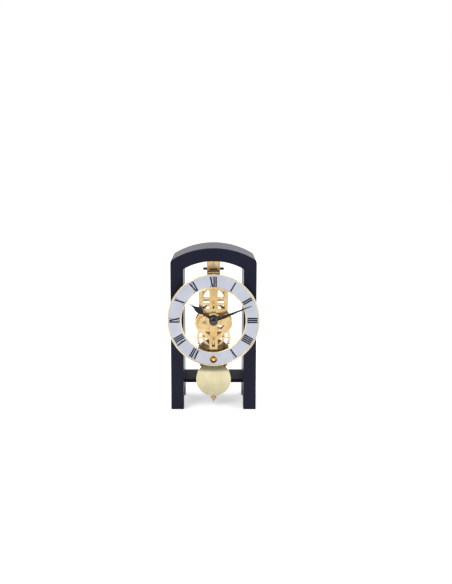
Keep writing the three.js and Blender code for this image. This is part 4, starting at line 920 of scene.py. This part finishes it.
# Hands: stamped from sheet, painted black and pressed on their pipes, a spade
# for the hours and a long leaf for the minutes, under a polished domed nut.
BLACK_LIGHT = shade(22, 23, 32)
BLACK_DEEP = shade(17, 18, 26)
black = satin_paint("hand_black", BLACK_LIGHT, BLACK_DEEP, low=0.14, high=0.22)
polished_black = satin_paint("nut_black", BLACK_LIGHT, BLACK_DEEP, low=0.05, high=0.09, ior=1.6)
dressed("hour_hand", black, "hand_black", edge=0.22)
dressed("minute_hand", black, "hand_black", edge=0.22)
NUT_RADIUS = 6.75
NUT_FRONT = -68.25
NUT_REAR = -64.75
NUT_DOME = 2.6
NUT_EDGE = 0.2
NUT_BORE = 1.6
NUT_BORE_END = -67.05
quarter = [math.pi / 2 * i / 14 for i in range(15)]
dome = [(NUT_RADIUS * math.sin(a), NUT_FRONT + NUT_DOME * (1 - math.cos(a))) for a in quarter]
nut_section = [
    *dome,
    (NUT_RADIUS, NUT_REAR - NUT_EDGE),
    (NUT_RADIUS - NUT_EDGE, NUT_REAR),
    (NUT_BORE, NUT_REAR),
    (NUT_BORE, NUT_BORE_END),
    (0.0, NUT_BORE_END),
]
nut = turned("centre_nut", nut_section, [(0.0, 0.0, DIAL_Z)], sides=64)
finished(nut, polished_black, "centre", "hand_black", "hand_nut")

# Pendulum: a brass rod with an eye on the suspension pin and a polished lens bob
# of pale lacquered brass, carried by a rating nut on the threaded end.
PENDULUM_Y = -10.75
BOB_Z = 44.9
BOB_RADIUS = 27.8
BOB_HALF = 5.5
BOB_RIM = 2.3
BOB_EDGE = 0.3
BOB_BORE = 1.5
BORE_REACH = 60.0
dressed("pendulum_rod", brass, "brass", edge=0.1, angle=40)
BOB_LIGHT = shade(197, 189, 157)
BOB_DEEP = shade(189, 179, 144)
pale = spun_metal("pale_brass_bob", BOB_LIGHT, BOB_DEEP, 0.0, BOB_Z, low=0.1, high=0.18, depth=0.000001)
LENS_STEPS = 24
shares = [i / LENS_STEPS for i in range(LENS_STEPS)] + [0.985, 0.995]
front_face = [(BOB_RADIUS * s, -BOB_RIM - (BOB_HALF - BOB_RIM) * (1 - s * s)) for s in shares]
edge_round = [(BOB_RADIUS, -BOB_RIM + BOB_EDGE), (BOB_RADIUS, BOB_RIM - BOB_EDGE)]
bob_section = [*front_face, *edge_round, *[(r, -d) for r, d in reversed(front_face)]]
bob_centre = [(0.0, PENDULUM_Y, BOB_Z)]
bob = turned("lens_bob", bob_section, bob_centre, sides=160)
bore_section = [(0.0, -BORE_REACH), (BOB_BORE, -BORE_REACH), (BOB_BORE, BORE_REACH), (0.0, BORE_REACH)]
bore = turned("bob_bore", bore_section, bob_centre, upright=True, sides=32)
cut_away(bob, bore)
finished(smooth(bob, angle=25), pale, "pendulum", "pale_brass", "bob")


# Rating nut: a small turned nut under the bob, ribbed round its waist for the
# fingers and closed to a cone.
def rib_tree():
    tree, given = sized_tree("nut_ribs", ["Rib radius", "Rib height"])
    rib = add(
        tree,
        "GeometryNodeMeshCylinder",
        {"Vertices": 8, "Radius": given["Rib radius"], "Depth": given["Rib height"]},
    )
    set_out(tree, given, rib.outputs["Mesh"])
    return tree


NUT_TOP = BOB_Z - BOB_RADIUS - 0.1
RIB_RING = 4.25
RIB_COUNT = 30
RATING_EDGE = 0.2
RIB_UPPER = NUT_TOP - 1.0
RIB_LOWER = NUT_TOP - 4.0
NECK_Z = NUT_TOP - 5.0
TIP_Z = NUT_TOP - 7.0
SEAT_RADIUS = 3.2
NECK_RADIUS = 2.76
TIP_RADIUS = 2.2
rating_section = softened(
    [
        (BOB_BORE, TIP_Z),
        (TIP_RADIUS, TIP_Z),
        (NECK_RADIUS, NECK_Z),
        (RIB_RING, RIB_LOWER),
        (RIB_RING, RIB_UPPER),
        (SEAT_RADIUS, NUT_TOP),
        (BOB_BORE, NUT_TOP),
    ],
    RATING_EDGE,
)
nut_axis = [(0.0, PENDULUM_Y, 0.0)]
rating = turned("rating_body", rating_section, nut_axis, upright=True, sides=48, ring=True)
finished(rating, brass, "pendulum", "brass", "rating_nut")
rib_places = []
for i in range(RIB_COUNT):
    angle = 2 * math.pi * i / RIB_COUNT
    x, y = RIB_RING * math.sin(angle), RIB_RING * math.cos(angle)
    spot = (x, PENDULUM_Y + y, (RIB_UPPER + RIB_LOWER) / 2)
    rib_places.append((spot, (0.0, 0.0, angle), WHOLE))
rib_sizes = {"Rib radius": 0.35 * MM, "Rib height": 2.8 * MM, "Finish": brass}
ribs = grown("rating_ribs", rib_tree(), rib_places, rib_sizes)
finished(smooth(ribs, angle=50), brass, "pendulum", "brass")

# Bell: a spun cup of dark matt brass, which opens towards the bob, with a painted
# highlight round its lip. It hangs on the stud of a turned post, which is screwed down on the shelf.
BELL_Z = 82.0
BELL_MOUTH = -1.95
BELL_RADIUS = 27.6
BELL_DEPTH = 15.0
BELL_WALL = 1.2
BELL_BORE = 2.1
BELL_CROWN_RADIUS = 5.0
LIP_ROUND = 0.3
LIP_DEPTH = 0.2
LIP_FRONT = BELL_MOUTH - 0.15


def bell_curve(radius, depth, steps=20):
    """The swelling side of the bell, from its mouth to the edge of its crown."""
    last = math.asin(BELL_CROWN_RADIUS / radius)
    angles = [math.pi / 2 + (last - math.pi / 2) * i / steps for i in range(steps + 1)]
    return [(radius * math.sin(a), BELL_MOUTH + depth * math.cos(a)) for a in angles]


def painted_lip_highlight(finish, colour, depth):
    """Paints a highlight on the surface in front of a depth, in millimetres."""
    tree = finish.node_tree
    tone = tree.nodes["Principled BSDF"].inputs["Base Color"]
    place = add(tree, "ShaderNodeTexCoord").outputs["Object"]
    parts = add(tree, "ShaderNodeSeparateXYZ", {"Vector": place})
    lip = add(tree, "ShaderNodeMath", {0: parts.outputs["Y"], 1: depth * MM}, operation="LESS_THAN")
    highlighted = add(
        tree,
        "ShaderNodeMix",
        {"Factor": lip.outputs[0], "A": tone.links[0].from_socket, "B": colour},
        data_type="RGBA",
    )
    tree.links.new(highlighted.outputs["Result"], tone)


outside = bell_curve(BELL_RADIUS, BELL_DEPTH)
inside = bell_curve(BELL_RADIUS - BELL_WALL, BELL_DEPTH - BELL_WALL)
lip = [(BELL_RADIUS - BELL_WALL + LIP_ROUND, LIP_FRONT), (BELL_RADIUS - LIP_ROUND, LIP_FRONT)]
crown = [(BELL_BORE, outside[-1][1]), (BELL_BORE, inside[-1][1])]
bell_section = [*reversed(inside), *lip, *outside, *crown]
bell = turned("bell_cup", bell_section, [(0.0, 0.0, BELL_Z)], sides=128, ring=True)
BELL_LIGHT = shade(186, 164, 132)
BELL_DEEP = shade(174, 151, 119)
bell_brass = spun_metal("bell_brass", BELL_LIGHT, BELL_DEEP, 0.0, BELL_Z, low=0.64, high=0.74)
# Painted highlight: a pale band on the bell's metal in front of its mouth.
LIP_HIGHLIGHT = shade(246, 230, 200)
painted_lip_highlight(bell_brass, LIP_HIGHLIGHT, BELL_MOUTH + LIP_DEPTH)
finished(bell, bell_brass, "base", "bell_brass", "bell")
dressed("bell_post", brass, "brass", edge=0.3, angle=40)
dressed("bell_nut", brass, "brass", edge=0.3)


# Stage: a pale sweep of floor, a white room that darkens behind the camera, and
# three soft lamps. The camera stands a little above the clock.
WHITE = (1.0, 1.0, 1.0, 1.0)
PAPER_LIGHT = shade(240, 240, 240)
PAPER_DEEP = shade(237, 237, 238)


def seen_or_mirrored(tree):
    """One for rays from the camera, a mirror or a clear piece, else nought."""
    ray = add(tree, "ShaderNodeLightPath").outputs
    straight = add(
        tree,
        "ShaderNodeMath",
        {0: ray["Is Camera Ray"], 1: ray["Is Glossy Ray"]},
        operation="MAXIMUM",
    )
    bent = add(
        tree,
        "ShaderNodeMath",
        {0: straight.outputs[0], 1: ray["Is Transmission Ray"]},
        operation="MAXIMUM",
    )
    return bent.outputs[0]


def sweep_floor(half=6.0):
    mesh = bpy.data.meshes.new("floor")
    corners = [(-half, -half, 0), (half, -half, 0), (half, half, 0), (-half, half, 0)]
    mesh.from_pydata(corners, [], [(0, 1, 2, 3)])
    finish, tree, shader, place = new_finish("floor_paper", Roughness=0.9, Specular_IOR_Level=0.1)
    two_tones(tree, shader, place, PAPER_LIGHT, PAPER_DEEP, scale=3.0)
    away = add(tree, "ShaderNodeVectorMath", {0: place}, operation="LENGTH")
    glow = add(
        tree,
        "ShaderNodeMapRange",
        {
            "Value": away.outputs["Value"],
            "From Min": 0.2,
            "From Max": 1.2,
            "To Min": 0.52,
            "To Max": 0.75,
        },
        interpolation_type="SMOOTHSTEP",
    )
    shown = add(
        tree,
        "ShaderNodeMath",
        {0: glow.outputs["Result"], 1: seen_or_mirrored(tree)},
        operation="MULTIPLY",
    )
    tree.links.new(shown.outputs[0], shader.inputs["Emission Strength"])
    shader.inputs["Emission Color"].default_value = WHITE
    floor = linked("floor", mesh)
    mesh.materials.append(finish)


def white_room():
    world = bpy.data.worlds.new("room")
    bpy.context.scene.world = world
    world.use_nodes = True
    tree = world.node_tree
    room = tree.nodes["Background"]
    seen = seen_or_mirrored(tree)
    level = add(tree, "ShaderNodeMapRange", {"Value": seen, "To Min": 0.5, "To Max": 1.0})
    tree.links.new(level.outputs["Result"], room.inputs["Strength"])
    way = add(tree, "ShaderNodeTexCoord")
    parts = add(tree, "ShaderNodeSeparateXYZ", {"Vector": way.outputs["Generated"]})
    ramp = add(tree, "ShaderNodeValToRGB")
    spread = add(
        tree,
        "ShaderNodeMapRange",
        {"Value": parts.outputs["Y"], "From Min": -1.0, "From Max": 1.0},
    )
    tree.links.new(spread.outputs["Result"], ramp.inputs["Fac"])
    ramp.color_ramp.elements[0].position = 0.1
    ramp.color_ramp.elements[0].color = (0.32, 0.32, 0.33, 1.0)
    ramp.color_ramp.elements[1].position = 0.6
    ramp.color_ramp.elements[1].color = WHITE
    ray = add(tree, "ShaderNodeLightPath")
    plain = add(
        tree,
        "ShaderNodeMix",
        {"Factor": ray.outputs["Is Camera Ray"], "A": ramp.outputs["Color"], "B": WHITE},
        data_type="RGBA",
    )
    tree.links.new(plain.outputs["Result"], room.inputs["Color"])


def soft_lamp(name, spot, aim, size, watts):
    lamp = bpy.data.lights.new(name, "AREA")
    lamp.shape = "RECTANGLE"
    lamp.size, lamp.size_y = size
    lamp.energy = watts
    stand = linked(name, lamp)
    stand.location = spot
    stand.rotation_euler = (Vector(aim) - Vector(spot)).to_track_quat("-Z", "Y").to_euler()


sweep_floor()
white_room()
MIDDLE = (0.0, -0.02, 0.13)
soft_lamp("key", spot=(-0.8, -1.1, 1.2), aim=MIDDLE, size=(0.9, 0.9), watts=13.5)
soft_lamp("fill", spot=(1.0, -0.9, 0.7), aim=MIDDLE, size=(0.8, 1.0), watts=6.0)
soft_lamp("top", spot=(0.0, 0.1, 1.6), aim=MIDDLE, size=(1.2, 1.2), watts=12.0)

LOOK_DOWN = 8.77
lens = bpy.data.cameras.new("camera")
lens.sensor_fit = "HORIZONTAL"
lens.sensor_width = 36.0
lens.lens = 66.3
lens.shift_x = 0.0276
lens.shift_y = -0.0044
lens.clip_start = 0.01
camera = linked("camera", lens)
camera.location = (0.0, -1.307, 0.3888)
camera.rotation_euler = (math.radians(90.0 - LOOK_DOWN), 0.0, 0.0)
bpy.context.scene.camera = camera
bpy.context.scene.view_settings.view_transform = "Standard"
